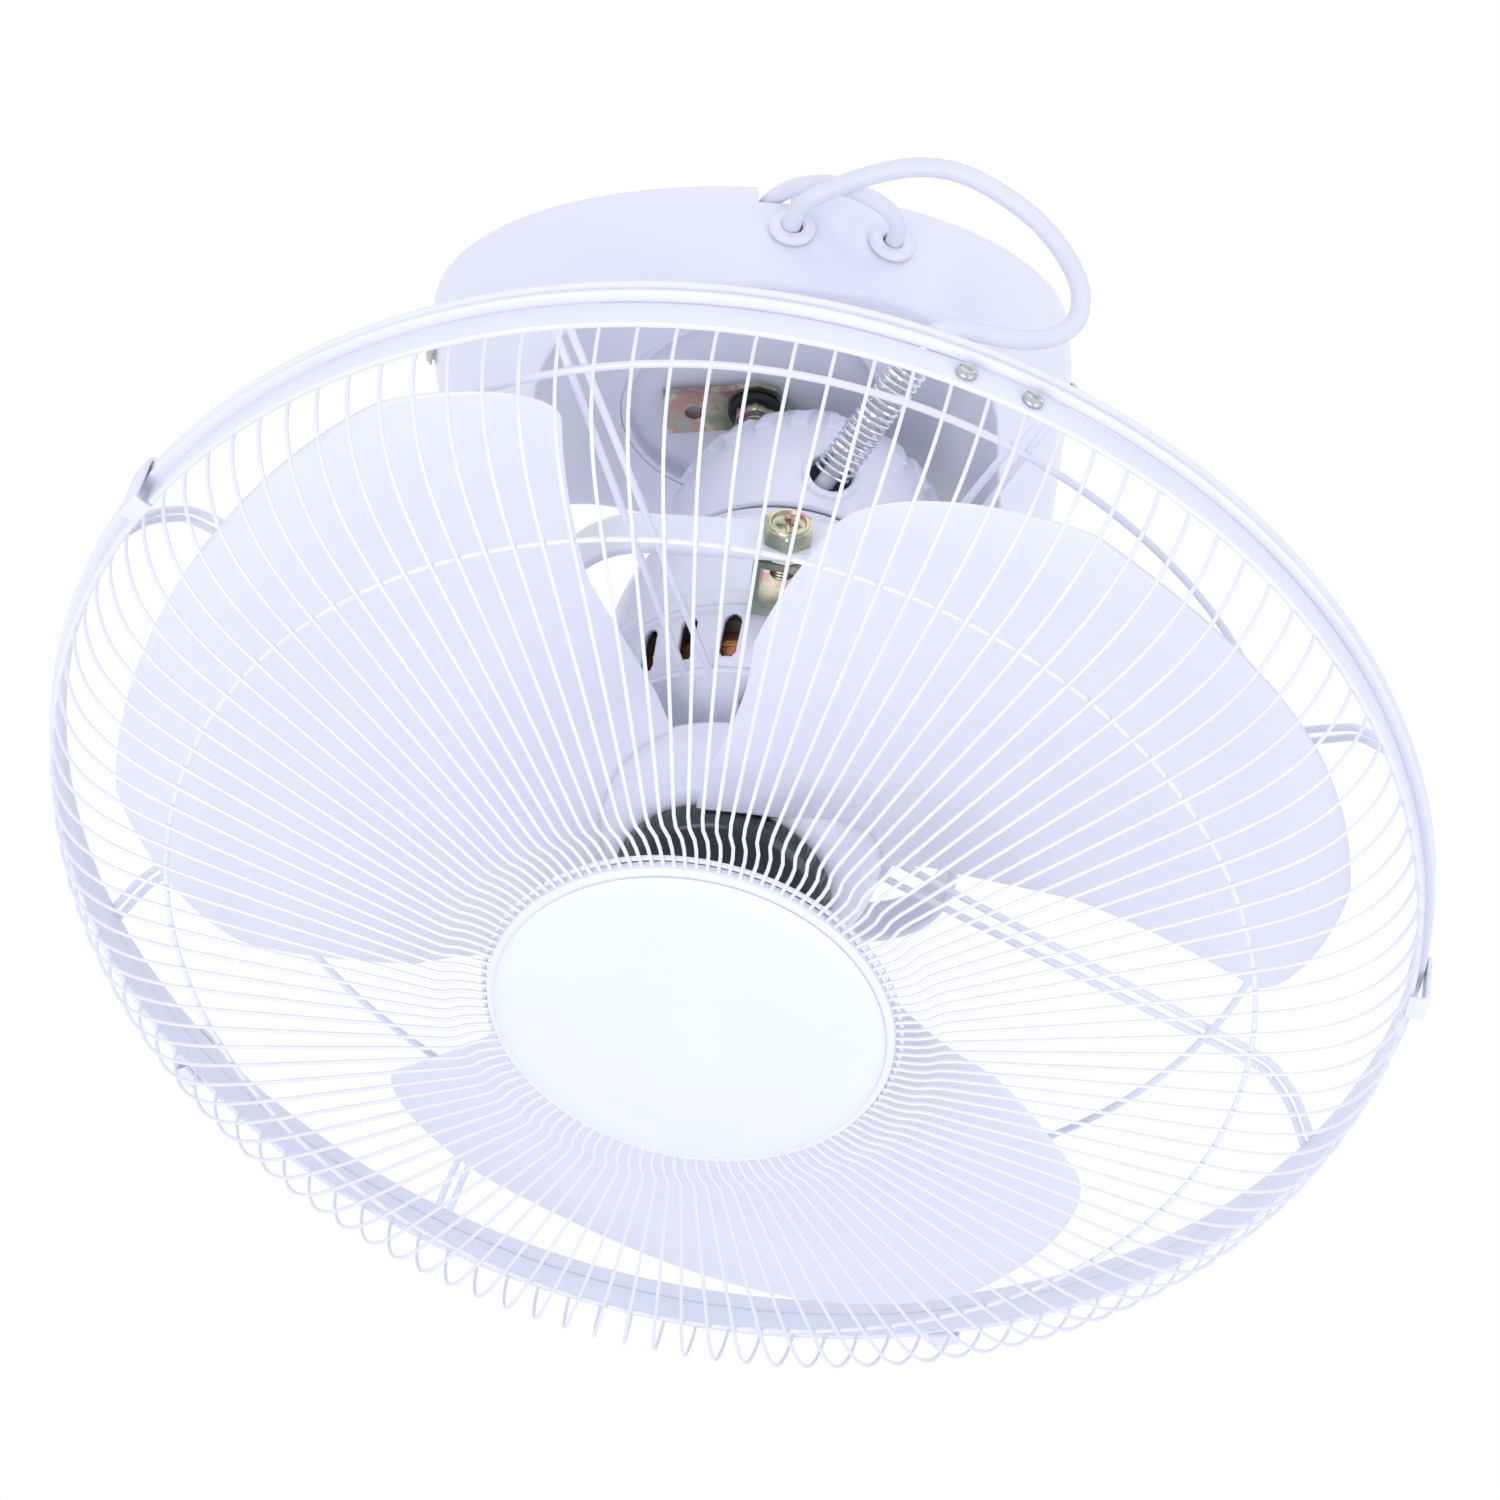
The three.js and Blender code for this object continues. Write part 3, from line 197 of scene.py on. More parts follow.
# By slot. noises: scale, detail and perhaps stretch. steps: where a noise rises from 0 to 1. paint: mask,
# dark and light colour, or stops. rough: least roughness, then what is added. relief: height, strength and
# depth in metres.
finishSettings = {
    "shell_white": {
        "name": "shellWhite", "color": (0.84, 0.85, 0.95), "roughness": 0.28,
        "sockets": {"Coat Weight": 0.25, "Coat Roughness": 0.12}, "steps": {"speck": (0.66, 0.76)},
        "noises": {"cloud": (14, 4), "speck": (900, 2), "fine": (420, 2), "broad": (60, 2)},
        "paint": ({"cloud": 1, "speck": -0.35}, (0.80, 0.81, 0.915), (0.865, 0.872, 0.965)),
        "rough": (0.24, {"cloud": 0.1, "speck": 0.15}), "relief": ({"fine": 0.6, "broad": 1}, 0.05, 0.0006)},
    "enamel_white": {
        "name": "enamelWhite", "color": (0.83, 0.85, 0.93), "roughness": 0.34,
        "sockets": {"Coat Weight": 0.2, "Coat Roughness": 0.2},
        "noises": {"peel": (700, 2), "cloud": (30, 3)},
        "paint": ("cloud", (0.79, 0.81, 0.90), (0.86, 0.875, 0.945)),
        "rough": (0.28, {"peel": 0.14}), "relief": ("peel", 0.12, 0.0004)},
    "blade_white": {  # thin moulded plastic that lets some light through
        "name": "bladeWhite", "color": (0.78, 0.79, 0.92), "roughness": 0.26,
        "sockets": {"Subsurface Weight": 0.25, "Subsurface Scale": 0.004,
                    "Subsurface Radius": (1.0, 0.95, 1.1), "Coat Weight": 0.2, "Coat Roughness": 0.15},
        "noises": {"cloud": (9, 4), "flow": (30, 3, (1, 1, 3)), "fine": (300, 2)},
        "paint": ({"cloud": 0.7, "flow": 0.3}, (0.755, 0.765, 0.845), (0.80, 0.81, 0.885)),
        "rough": (0.24, {"flow": 0.1}), "relief": ({"flow": 1, "fine": 0.2}, 0.04, 0.001)},
    "zinc": {  # passivated: straw yellow with green and red shimmer, and dull patches
        "name": "zincYellow", "color": (0.62, 0.55, 0.36), "roughness": 0.28, "metallic": 1,
        "noises": {"drift": (60, 3), "dull": (260, 3), "scratch": (900, 2, (1, 6, 1))},
        "steps": {"drift": (0.25, 0.75)},
        "paint": ("drift", [(0, (0.24, 0.29, 0.22)), (0.35, (0.44, 0.44, 0.32)), (0.55, (0.60, 0.55, 0.43)),
                            (0.75, (0.50, 0.30, 0.26)), (1, (0.36, 0.41, 0.38))]),
        "rough": (0.2, {"dull": 0.22}), "relief": ("scratch", 0.08, 0.0004)},
    "steel": {
        "name": "brightSteel", "color": (0.55, 0.56, 0.58), "roughness": 0.32, "metallic": 1,
        "noises": {"grain": (500, 3, (1, 1, 9)), "stain": (60, 4)},
        "paint": ("stain", (0.44, 0.45, 0.47), (0.64, 0.65, 0.67)),
        "rough": (0.24, {"grain": 0.2}), "relief": ("grain", 0.08, 0.0004)},
    "spring_steel": {
        "name": "springSteel", "color": (0.80, 0.81, 0.84), "roughness": 0.16, "metallic": 1,
        "noises": {"grain": (800, 2), "stain": (160, 2)},
        "paint": ("stain", (0.72, 0.73, 0.76), (0.86, 0.87, 0.9)), "rough": (0.12, {"grain": 0.14})},
    "black_plastic": {
        "name": "blackPlastic", "color": (0.016, 0.018, 0.024), "roughness": 0.2,
        "sockets": {"Coat Weight": 0.4}, "steps": {"scuff": (0.55, 0.75)},
        "noises": {"scuff": (160, 4), "fine": (500, 2)},
        "paint": ("scuff", (0.014, 0.016, 0.022), (0.026, 0.029, 0.038)),
        "rough": (0.18, {"scuff": 0.16}), "relief": ("fine", 0.04, 0.0004)},
    "black_rubber": {
        "name": "blackRubber", "color": (0.018, 0.018, 0.02), "roughness": 0.75,
        "noises": {"grain": (900, 3)}, "rough": (0.62, {"grain": 0.22}), "relief": ("grain", 0.2, 0.0004)},
    "nylon": {
        "name": "nylonNatural", "color": (0.80, 0.78, 0.70), "roughness": 0.45,
        "sockets": {"Subsurface Weight": 0.15, "Subsurface Scale": 0.002},
        "noises": {"cloud": (90, 3), "fine": (700, 2)},
        "paint": ("cloud", (0.74, 0.72, 0.63), (0.84, 0.83, 0.77)), "relief": ("fine", 0.08, 0.0003)},
    "copper": {  # turns of varnished wire as fine ridges round the ring, with painted shade in the grooves between the turns and a painted highlight on their tops
        "name": "copperWire", "color": (0.45, 0.19, 0.07), "roughness": 0.3, "metallic": 0.9,
        "noises": {"rope": (240, 3, (1, 1, 5))},
        # the colour follows the ridges' height: painted shade low between the turns, a painted highlight on
        # their tops
        "paint": ("rope", (0.32, 0.12, 0.04), (0.62, 0.30, 0.12)), "relief": ("rope", 0.6, 0.0012)},
    "laminations": {  # stacked sheets of electrical steel
        "name": "laminations", "color": (0.2, 0.21, 0.22), "roughness": 0.45, "metallic": 0.8,
        "noises": {"stack": (300, 2, (0.1, 0.1, 4))},
        "paint": ("stack", (0.10, 0.105, 0.11), (0.32, 0.33, 0.35)),
        "rough": (0.35, {"stack": 0.2}), "relief": ("stack", 0.3, 0.0005)},
    "bronze": {
        "name": "sinteredBronze", "color": (0.5, 0.36, 0.17), "roughness": 0.4, "metallic": 0.9,
        "noises": {"grain": (1200, 2)},
        "paint": ("grain", (0.38, 0.26, 0.11), (0.6, 0.45, 0.22)), "relief": ("grain", 0.2, 0.0003)},
    "cord_white": {
        "name": "cordSheath", "color": (0.80, 0.82, 0.90), "roughness": 0.42, "sockets": {"Coat Weight": 0.1},
        "noises": {"cloud": (70, 3), "fine": (500, 2)},
        "paint": ("cloud", (0.74, 0.76, 0.84), (0.84, 0.855, 0.925)),
        "rough": (0.36, {"fine": 0.16}), "relief": ("cloud", 0.06, 0.0008)},
}
finishes = {slotName: makeFinish(s) for slotName, s in finishSettings.items()}
print("finishes made")


# surfaces from numpy
def unit(v):
    return v / np.linalg.norm(v, axis=-1)[..., None]


def roundAngles(sides):
    return np.linspace(0, 2 * np.pi, sides, endpoint=False)


def polar(r, angle, z):
    # x = r cos a, y = r sin a
    return np.stack(np.broadcast_arrays(r * np.cos(angle), r * np.sin(angle), z), -1)


def runOf(path):
    # the length from the path's start to each of its points
    return np.concatenate([[0], np.cumsum(np.linalg.norm(np.diff(path, axis=0), axis=1))])


def meshPiece(name, points, faces, place=None, smoothAngle=32):
    # points in millimetres and faces as lists of corners; place puts them into the fan's frame
    data = bpy.data.meshes.new(name)
    data.from_pydata((np.asarray(points) * mm).tolist(), [], [list(map(int, f)) for f in faces])
    data.validate()
    if place is not None:
        data.transform(place)
    data.update()
    piece = bpy.data.objects.new(name, data)
    scene.collection.objects.link(piece)
    data.shade_smooth()
    data.set_sharp_from_angle(angle=math.radians(smoothAngle))
    return piece


def gridFaces(rows, columns, closedRows=False, closedColumns=False):
    # corners of the quads of a rows by columns grid, wrapped where it is closed
    i = np.arange(rows if closedRows else rows - 1)
    j = np.arange(columns if closedColumns else columns - 1)
    a, b = np.meshgrid(i, j, indexing="ij")
    a2, b2 = (a + 1) % rows, (b + 1) % columns
    quads = np.stack([a * columns + b, a * columns + b2, a2 * columns + b2, a2 * columns + b], -1)
    return quads.reshape(-1, 4)


def tubeFaces(rows, columns):
    # rings joined into a tube, and its two ends
    ends = [list(range(columns))[::-1], [(rows - 1) * columns + k for k in range(columns)]]
    return gridFaces(rows, columns, closedColumns=True).tolist() + ends


def joinParts(parts):
    # several (points, faces) as one
    faces, start = [], 0
    for points, corners in parts:
        faces += [[int(c) + start for c in face] for face in corners]
        start += len(points)
    return np.concatenate([points for points, _ in parts]), faces


def roundedProfile(profile, radius=0.8, steps=4, mostShare=0.45):
    # an outline of (r, z) with each inner corner as a small arc that touches both sides:
    # (1 - t)^2 first + 2t (1 - t) corner + t^2 last
    profile = np.array(profile, float)
    out = [profile[0]]
    for before, corner, after in zip(profile, profile[1:], profile[2:]):
        back, on = before - corner, after - corner
        reach = min(radius, mostShare * np.linalg.norm(back), mostShare * np.linalg.norm(on))
        first, last = corner + unit(back) * reach, corner + unit(on) * reach
        out += [(1 - t) ** 2 * first + 2 * t * (1 - t) * corner + t ** 2 * last
                for t in np.linspace(0, 1, steps + 1)]
    return np.array(out + [profile[-1]])


def turned(profile, sides=96, radius=0.8, steps=4, closed=False):
    # a profile of (r, z) carried round Z
    outline = roundedProfile(list(profile) + ([profile[0]] if closed else []), radius, steps)
    if closed:
        outline = outline[:-1]
    points = polar(outline[:, :1], roundAngles(sides), outline[:, 1:])
    return points.reshape(-1, 3), gridFaces(len(outline), sides, closedRows=closed, closedColumns=True)


def turnZ(points, degrees):
    a = math.radians(degrees)
    turn = np.array([[math.cos(a), -math.sin(a), 0], [math.sin(a), math.cos(a), 0], [0, 0, 1]])
    return points @ turn.T


def facesOut(piece, distance=1e-6):
    # merges doubles, then recalculates the normals
    work = bmesh.new()
    work.from_mesh(piece.data)
    bmesh.ops.remove_doubles(work, verts=work.verts, dist=distance)
    bmesh.ops.recalc_face_normals(work, faces=work.faces)
    work.to_mesh(piece.data)
    work.free()


def finished(piece, body, slotName, *nodes):
    # the finish, the body it moves with and the solids it stands for
    facesOut(piece)
    piece.data.materials.clear()
    piece.data.materials.append(finishes[slotName])
    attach(piece, body)
    if nodes:
        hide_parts(*nodes)
    return piece


def put(name, part, body, slotName, *nodes, place=None, smoothAngle=32):
    return finished(meshPiece(name, *part, place, smoothAngle), body, slotName, *nodes)


def onHead(name, part, slotName, *nodes, body="head_body", smoothAngle=32):
    # a piece whose points are given about the head's own axis
    put(name, part, body, slotName, *nodes, place=headPlace, smoothAngle=smoothAngle)


def aimedPlace(place, direction):
    # turns +Z onto a direction, and moves to a place in millimetres
    turn = Vector((0, 0, 1)).rotation_difference(Vector(direction)).to_matrix().to_4x4()
    return Matrix.Translation(Vector(place) * mm) @ turn


# cords
cordSettings = {
    "headRadius": 3.3, "supplyRadius": 3.0, "gap": 0.3, "springStart": (5, -46, 79.5),
    "springTip": (46.5, -74, -87.5), "clipStart": 1.2, "clipLength": 6, "approach": 3.5, "partAt": 11,
    "steps": 10, "sleeveReach": 10, "sleeveRows": 24, "blendFrom": 3, "blendTo": -2,
}
collar = headPlace @ (Vector(cordSettings["springStart"]) * mm) / mm
springAlong = (Vector(cordSettings["springTip"]) - collar).normalized()
clipPlace = Vector(cordSettings["springTip"]) + springAlong * cordSettings["clipStart"]
clipEnd = clipPlace + springAlong * cordSettings["clipLength"]
headRoute = [
    (6.5, -48, -22), (6.5, -58, -22), (6.4, -68, -22), (10, -76, -21), (18, -82, -20), (31, -90, -20),
    (46, -96, -21), (60, -99, -26), (74, -98, -34), (86, -95, -43), (95, -91, -54), (99.5, -88, -66),
    (98, -85, -77), (91, -83, -83), (80, -82, -84.5), (68, -83, -84), (59, -83.5, -82.8),
    *(tuple(clipEnd + springAlong * cordSettings[name]) for name in ("approach", "gap"))]
supplyRoute = [
    (37.5, -44, -22), (39.5, -53, -22), (42.2, -63.5, -22.3), (42, -70, -23), (39, -75, -22),
    (33, -77, -18.5), (26, -77, -14.5), (18.5, -74.5, -9.5), (9, -70, -7), (2, -64, -6), (-3, -56, -6),
    (-8, -47, -7), (-14, -38, -8.5)]


def between(a, b, low, high, t):
    return a * ((high - t) / (high - low)) + b * ((t - low) / (high - low))


def throughPoints(route, steps):
    # a centripetal Catmull-Rom curve through the points, as the frame's own route
    p = [Vector(q) for q in route]
    p = [2 * p[0] - p[1]] + p + [2 * p[-1] - p[-2]]
    out = []
    for i in range(1, len(p) - 2):
        near = p[i - 1:i + 3]
        knots = [0.0]
        for a, b in zip(near, near[1:]):
            knots.append(knots[-1] + max((b - a).length, 1e-6) ** 0.5)
        for t in np.linspace(knots[1], knots[2], steps, endpoint=False):
            first = [between(near[k], near[k + 1], knots[k], knots[k + 1], t) for k in range(3)]
            second = [between(first[k], first[k + 1], knots[k], knots[k + 2], t) for k in range(2)]
            out.append(between(*second, knots[1], knots[2], t))
    out.append(p[-2])
    return np.array([tuple(v) for v in out])


def carriedTube(path, radius, sides=16):
    # a circle carried along a path, its frame turned from each point to the next without twist
    along = unit(np.gradient(path, axis=0))
    side = np.cross(along[0], (0.3, 0.2, 1.0))
    rings = []
    angle = roundAngles(sides)[:, None]
    for point, direction in zip(path, along):
        side = unit(side - direction * side.dot(direction))
        third = np.cross(direction, side)
        rings.append(point + radius * (np.cos(angle) * side + np.sin(angle) * third))
    return np.concatenate(rings), tubeFaces(len(path), sides)


def makeCords(s):
    # the loop is two pieces that meet at its outermost point, each baked in place
    whole = throughPoints(headRoute, s["steps"])
    parting = s["partAt"] * s["steps"]
    rings = carriedTube(whole, s["headRadius"])[0].reshape(len(whole), -1, 3)
    cords = []
    for name, some, bodies, ends in (
            ("headCord", slice(parting + 1), ("canopy_body", "gimbal_body"), (s["blendFrom"], s["partAt"])),
            ("headCordEnd", slice(parting, None), ("gimbal_body", "head_body"), (s["partAt"], s["blendTo"]))):
        rows = rings[some]
        piece = meshPiece(name, rows.reshape(-1, 3), tubeFaces(*rows.shape[:2]))
        facesOut(piece)
        piece.data.materials.append(finishes["cord_white"])
        start, end = (tuple(Vector(headRoute[k]) * mm) for k in ends)
        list(bodies)
        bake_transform(piece)
        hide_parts("head_cord_loop")
        cords.append((piece, whole[some], s["headRadius"]))
    path = throughPoints(supplyRoute, s["steps"])
    supplyCord = put("supplyCord", carriedTube(path, s["supplyRadius"]), "canopy_body", "cord_white",
                     "supply_cord")
    cords.append((supplyCord, path, s["supplyRadius"]))
    reach = s["sleeveReach"]
    inner = np.array([tuple(collar - springAlong * reach + springAlong * d)
                      for d in np.linspace(0, (clipEnd - collar).length + reach, s["sleeveRows"])])
    put("headCordSleeved", carriedTube(inner, s["headRadius"]), "head_body", "cord_white", "head_cord_sleeved")
    return cords


def declareCords(cords):
    # works out each cord's start, length, thickness and points, and uses none of them; it runs after the
    # grommets, the spring and the clip, which are on the cords
    onCords = ["headCordGrommet"], ["cordSpring", "cordClip", "headCordSleeved"], ["supplyCordGrommet"]
    for (cord, path, radius), names in zip(cords, onCords):
        tuple(path[0] * mm)
        float(runOf(path)[-1] * mm)
        2 * radius * mm
        (path * mm).tolist()


cords = makeCords(cordSettings)
print("cords laid")


# sections carried along paths
def roundedSection(width, height, corner=0.6, steps=3):
    # a rectangle with round corners, as points about its middle
    arcs = []
    for cx, cy, start in ((1, 1, 0), (-1, 1, 90), (-1, -1, 180), (1, -1, 270)):
        angle = np.radians(np.linspace(start, start + 90, steps + 1))
        arcs.append(polar(corner, angle, 0)[:, :2] + (cx * (width / 2 - corner), cy * (height / 2 - corner)))
    return np.concatenate(arcs)


def roundedRectangle(halfX, halfY, corner, arcSteps=24, sideSteps=8):
    # the same outline as a level path, with straight runs of several points between the arcs
    arcs = roundedSection(2 * halfX, 2 * halfY, corner, arcSteps - 1).reshape(4, arcSteps, 2)
    share = np.linspace(0, 1, sideSteps + 2)[1:-1, None]
    path = np.concatenate([part for arc, after in zip(arcs, np.roll(arcs, -1, 0))
                           for part in (arc, arc[-1] + (after[0] - arc[-1]) * share)])
    return np.column_stack([path, np.zeros(len(path))])


def carriedSection(path, section, up, closed=False):
    # each point of the path carries the section: side = along x up, then up itself
    along = unit(np.roll(path, -1, 0) - np.roll(path, 1, 0) if closed else np.gradient(path, axis=0))
    up = np.asarray(up, float)
    side = unit(np.cross(along, up))
    points = path[:, None] + side[:, None] * section[:, :1] + up * section[:, 1:]
    counts = len(path), len(section)
    faces = gridFaces(*counts, closedRows=True, closedColumns=True) if closed else tubeFaces(*counts)
    return points.reshape(-1, 3), faces


def hoop(radius, height, section, steps):
    # a section carried round a level circle
    return carriedSection(polar(radius, roundAngles(steps), height), section, (0, 0, 1), closed=True)


def wireSection(radius, sides):
    return polar(radius, roundAngles(sides), 0)[:, :2]


def modified(piece, kind, **settings):
    # adds a modifier and applies it
    modifier = piece.modifiers.new(kind.lower(), kind)
    for name, value in settings.items():
        setattr(modifier, name, value)
    with bpy.context.temp_override(object=piece, active_object=piece, selected_objects=[piece]):
        bpy.ops.object.modifier_apply(modifier=modifier.name)
    return piece


def cutBy(piece, parts):
    # takes away one closed cutter after another
    for part in parts:
        tool = meshPiece("cutter", *part)
        facesOut(tool)
        modified(piece, "BOOLEAN", operation="DIFFERENCE", object=tool, solver="EXACT")
        bpy.data.objects.remove(tool)


def moved(part, place):
    # the part's points, in millimetres, moved by a matrix in metres
    points, faces = part
    turn = np.array(place)
    return points @ turn[:3, :3].T + turn[:3, 3] / mm, faces


def rod(radius, low, high, sides=48):
    # a plain closed cylinder
    return polar(radius, roundAngles(sides), [[low], [high]]).reshape(-1, 3), tubeFaces(2, sides)


def block(low, high):
    # a box between two corners
    points = np.array([(x, y, z) for x in (low[0], high[0]) for y in (low[1], high[1])
                       for z in (low[2], high[2])], float)
    return points, [(0, 1, 3, 2), (4, 6, 7, 5), (0, 4, 5, 1), (2, 3, 7, 6), (0, 2, 6, 4), (1, 5, 7, 3)]


# canopy
canopySettings = {
    "halfX": 113, "halfY": 64, "wall": 3, "archHalf": 78, "archTop": -47, "archCorner": 36, "armEnd": -190,
    "edge": 2.4, "edgeReach": 2.2, "edgeSteps": (60, 90, 400, 12, 70), "innerShare": 0.8, "bandShare": 0.7,
    "leastBand": 0.1, "bandRows": 4, "thinWithin": 14, "thinnest": 0.1, "dishRadius": 44, "dishTop": -42,
    "dishLip": 2.6, "dishHole": 4.6, "tipRadius": 24, "tipHeight": -180, "tipSlopeY": -80, "tipSlopeZ": -150,
    "columnStep": 2.2, "outerRows": 40, "innerRows": 14, "topZ": -0.5, "rowPower": 1.15, "fanPower": 1.7,
    "lip": (0, 0.6, 1.2, 2.0, 3.0, 4.5, 7.0), "notch": (-4.4, 6.2, -40, -10), "grommetHeight": -22,
    "seatHalf": 112.5,
    "grommetHole": 6.2, "grommets": ((6.5, 3.4, "headCordGrommet", "head_cord_grommet"),
                                     (41, 3.15, "supplyCordGrommet", "supply_cord_grommet")),
    "side": [(109, -0.5), (111.2, -1.6), (112.4, -3.6), (113, -8), (112.5, -25), (109, -50), (100, -105),
             (92, -206)],
    "sideStep": 0.5, "sideLow": -214, "fairing": 31, "lipBlend": (-14, 8),
}


def canopyTable(s):
    # half widths by height: the lip stays crisp, the long side is faired by a moving average
    z = np.arange(s["sideLow"], 0.001, s["sideStep"])
    table = np.array(s["side"], float)[::-1]
    raw = np.interp(z, table[:, 1], table[:, 0])
    window = np.ones(s["fairing"]) / s["fairing"]
    soft = np.convolve(np.pad(raw, s["fairing"] // 2, mode="edge"), window, mode="valid")
    start, length = s["lipBlend"]
    share = np.clip((z - start) / length, 0, 1)
    return z, soft * (1 - share) + raw * share


sideHeights, sideHalves = canopyTable(canopySettings)


def canopyHalf(z):
    return np.interp(z, sideHeights, sideHalves)


def canopyEdge(s):
    # a quarter of the lower edge, from the middle of the arch (x = 0, y < 0) to the arm's tip (y = 0), with the
    # way it faces and the inner edge beside it
    ratio = s["halfY"] / s["halfX"]
    half, corner, top = s["archHalf"], s["archCorner"], s["archTop"]
    flatSteps, cornerSteps, armSteps, slopeSteps, tipSteps = s["edgeSteps"]
    x1 = np.linspace(0, half - corner, flatSteps)
    angle = np.radians(np.linspace(90, 0, cornerSteps))[1:]
    x2, z2 = half - corner + corner * np.cos(angle), top - corner + corner * np.sin(angle)
    z3 = np.linspace(top - corner, s["armEnd"], armSteps)[1:]
    depth3 = ratio * canopyHalf(z3) * np.sqrt(1 - (half / canopyHalf(z3)) ** 2)
    run = (s["tipHeight"] - s["tipSlopeZ"]) / (-s["tipRadius"] - s["tipSlopeY"])
    silhouette = -s["tipSlopeY"] - (z3 - s["tipSlopeZ"]) / run  # half width of the arm's outline by height
    keep = depth3 < silhouette
    z3 = z3[keep]
    startY, startZ = -depth3[keep][-1], z3[-1]
    line = np.linspace(0, 1, slopeSteps)[1:-1]
    tip = np.radians(np.linspace(180, 270, tipSteps))
    y4 = np.concatenate([startY + (-s["tipRadius"] - startY) * line, s["tipRadius"] * np.cos(tip)])
    z4 = np.concatenate([startZ + (s["tipHeight"] - startZ) * line,
                         s["tipHeight"] + s["tipRadius"] * np.sin(tip)])
    x = np.concatenate([x1, x2, half + 0 * z3])
    z = np.concatenate([top + 0 * x1, z2, z3])
    reach, reach4 = canopyHalf(z), canopyHalf(z4)
    y = -ratio * reach * np.sqrt(1 - (x / reach) ** 2)
    x4 = reach4 * np.sqrt(1 - (y4 / (ratio * reach4)) ** 2)
    tangent = unit(np.gradient(np.stack([y4, z4], -1), axis=0))
    facing = np.concatenate([
        np.stack([0 * x1, 0 * x1, -1 + 0 * x1], -1),
        np.stack([-np.cos(angle), 0 * angle, -np.sin(angle)], -1),
        np.stack([-1 + 0 * z3, 0 * z3, 0 * z3], -1), np.stack([0 * y4, tangent[:, 1], -tangent[:, 0]], -1)])
    edge = np.concatenate([np.stack([x, y, z], -1), np.stack([x4, y4, z4], -1)])
    inner = edge.copy()
    inner[len(x):, 0] = half
    return edge, facing, inner


def evenly(arrays, lengths, step):
    # the same arrays again at even steps of the length
    at = np.linspace(0, lengths[-1], int(lengths[-1] / step))
    return [np.stack([np.interp(at, lengths, column) for column in a.T], -1) for a in arrays]


def averaged(a, width=2):
    # a moving average along the first axis, its ends held
    padded = np.pad(a, ((width, width), (0, 0)), mode="reflect", reflect_type="odd")
    kernel = np.ones(2 * width + 1) / (2 * width + 1)
    return np.stack([np.convolve(column, kernel, mode="valid") for column in padded.T], -1)


def arcRows(corner, first, last, radius, steps):
    # quarter-round rows between two faces that meet at the corner, tangent to both
    share = 1 + (first * last).sum(-1)[:, None]
    centre = corner - radius * (first + last) / share
    return [centre + radius * unit(first * (1 - t) + last * t) for t in np.linspace(0, 1, steps + 1)]


def canopyQuarter(s):
    # rows from the top down the outer wall, round the lower edge and in under the roof, with a column for each
    # step along the edge
    ratio = s["halfY"] / s["halfX"]
    edge, facing, inner = canopyEdge(s)
    edge, facing, inner = evenly([edge, facing, inner], runOf(edge), s["columnStep"])
    facing = unit(averaged(facing))
    facing[0] = facing[-1] = (0, 0, -1)
    reach = canopyHalf(edge[:, 2])
    slope = (canopyHalf(edge[:, 2] + 1) - canopyHalf(edge[:, 2] - 1)) / 2
    outward = unit(np.stack([edge[:, 0] / reach ** 2, edge[:, 1] / (ratio * reach) ** 2, -slope / reach], -1))
    outward[0, 0] = outward[-1, 1] = 0
    cosine = (outward * facing).sum(-1)
    bend = np.sqrt((1 - cosine) / (1 + cosine))  # how far a round reaches back for each unit of its radius
    firstRound = arcRows(edge, outward, facing, np.minimum(s["edge"], s["edgeReach"] / bend)[:, None], 4)
    onArch = np.abs(facing[:, 1]) < 1e-6
    innerFacing = np.where(onArch[:, None], facing, np.array([-1.0, 0, 0]))
    innerFacing[-1] = (-1, 0, 0)
    innerFacing = unit(averaged(innerFacing))
    innerFacing[0] = (0, 0, -1)
    onArch[-1] = False
    reachIn = np.where(onArch, 0, firstRound[-1][:, 0] - inner[:, 0])  # width of the arm's lower edge
    reachIn[reachIn < s["leastBand"]] = 0
    corner = firstRound[-1] - reachIn[:, None] * np.array([1.0, 0, 0])
    tightness = np.minimum(s["edge"] * s["innerShare"], s["bandShare"] * reachIn)[:, None]
    secondRound = arcRows(corner, facing, innerFacing, tightness, 3)
    start = np.arctan2(firstRound[0][:, 1] / ratio, firstRound[0][:, 0])
    upper = np.maximum(-np.pi / 2 * (1 - np.linspace(0, 1, len(edge))), start)  # so that no two columns cross
    rows = []
    lipEnd = len(s["lip"]) - 1
    for k in range(s["outerRows"]):
        t = max(k - lipEnd, 0) / (s["outerRows"] - lipEnd)
        lip = s["topZ"] - s["lip"][min(k, lipEnd)]
        z = lip - t ** s["rowPower"] * (lip - firstRound[0][:, 2])
        down = np.clip((s["topZ"] - z) / (s["topZ"] - firstRound[0][:, 2]), 0, 1)
        turn = upper + (start - upper) * down ** s["fanPower"]
        rows.append(polar(canopyHalf(z), turn, z) * (1, ratio, 1))
    rows += firstRound
    rows += [firstRound[-1] + (secondRound[0] - firstRound[-1]) * t
             for t in np.linspace(0, 1, s["bandRows"] + 1)[1:-1]]
    rows += secondRound
    rows += [secondRound[-1] * (1, 1 - t, 1) for t in np.linspace(0, 1, s["innerRows"] + 1)[1:]]
    quarter = np.stack(rows)
    quarter[:, 0, 0] = 0
    quarter[:, -1, 1] = 0
    return quarter


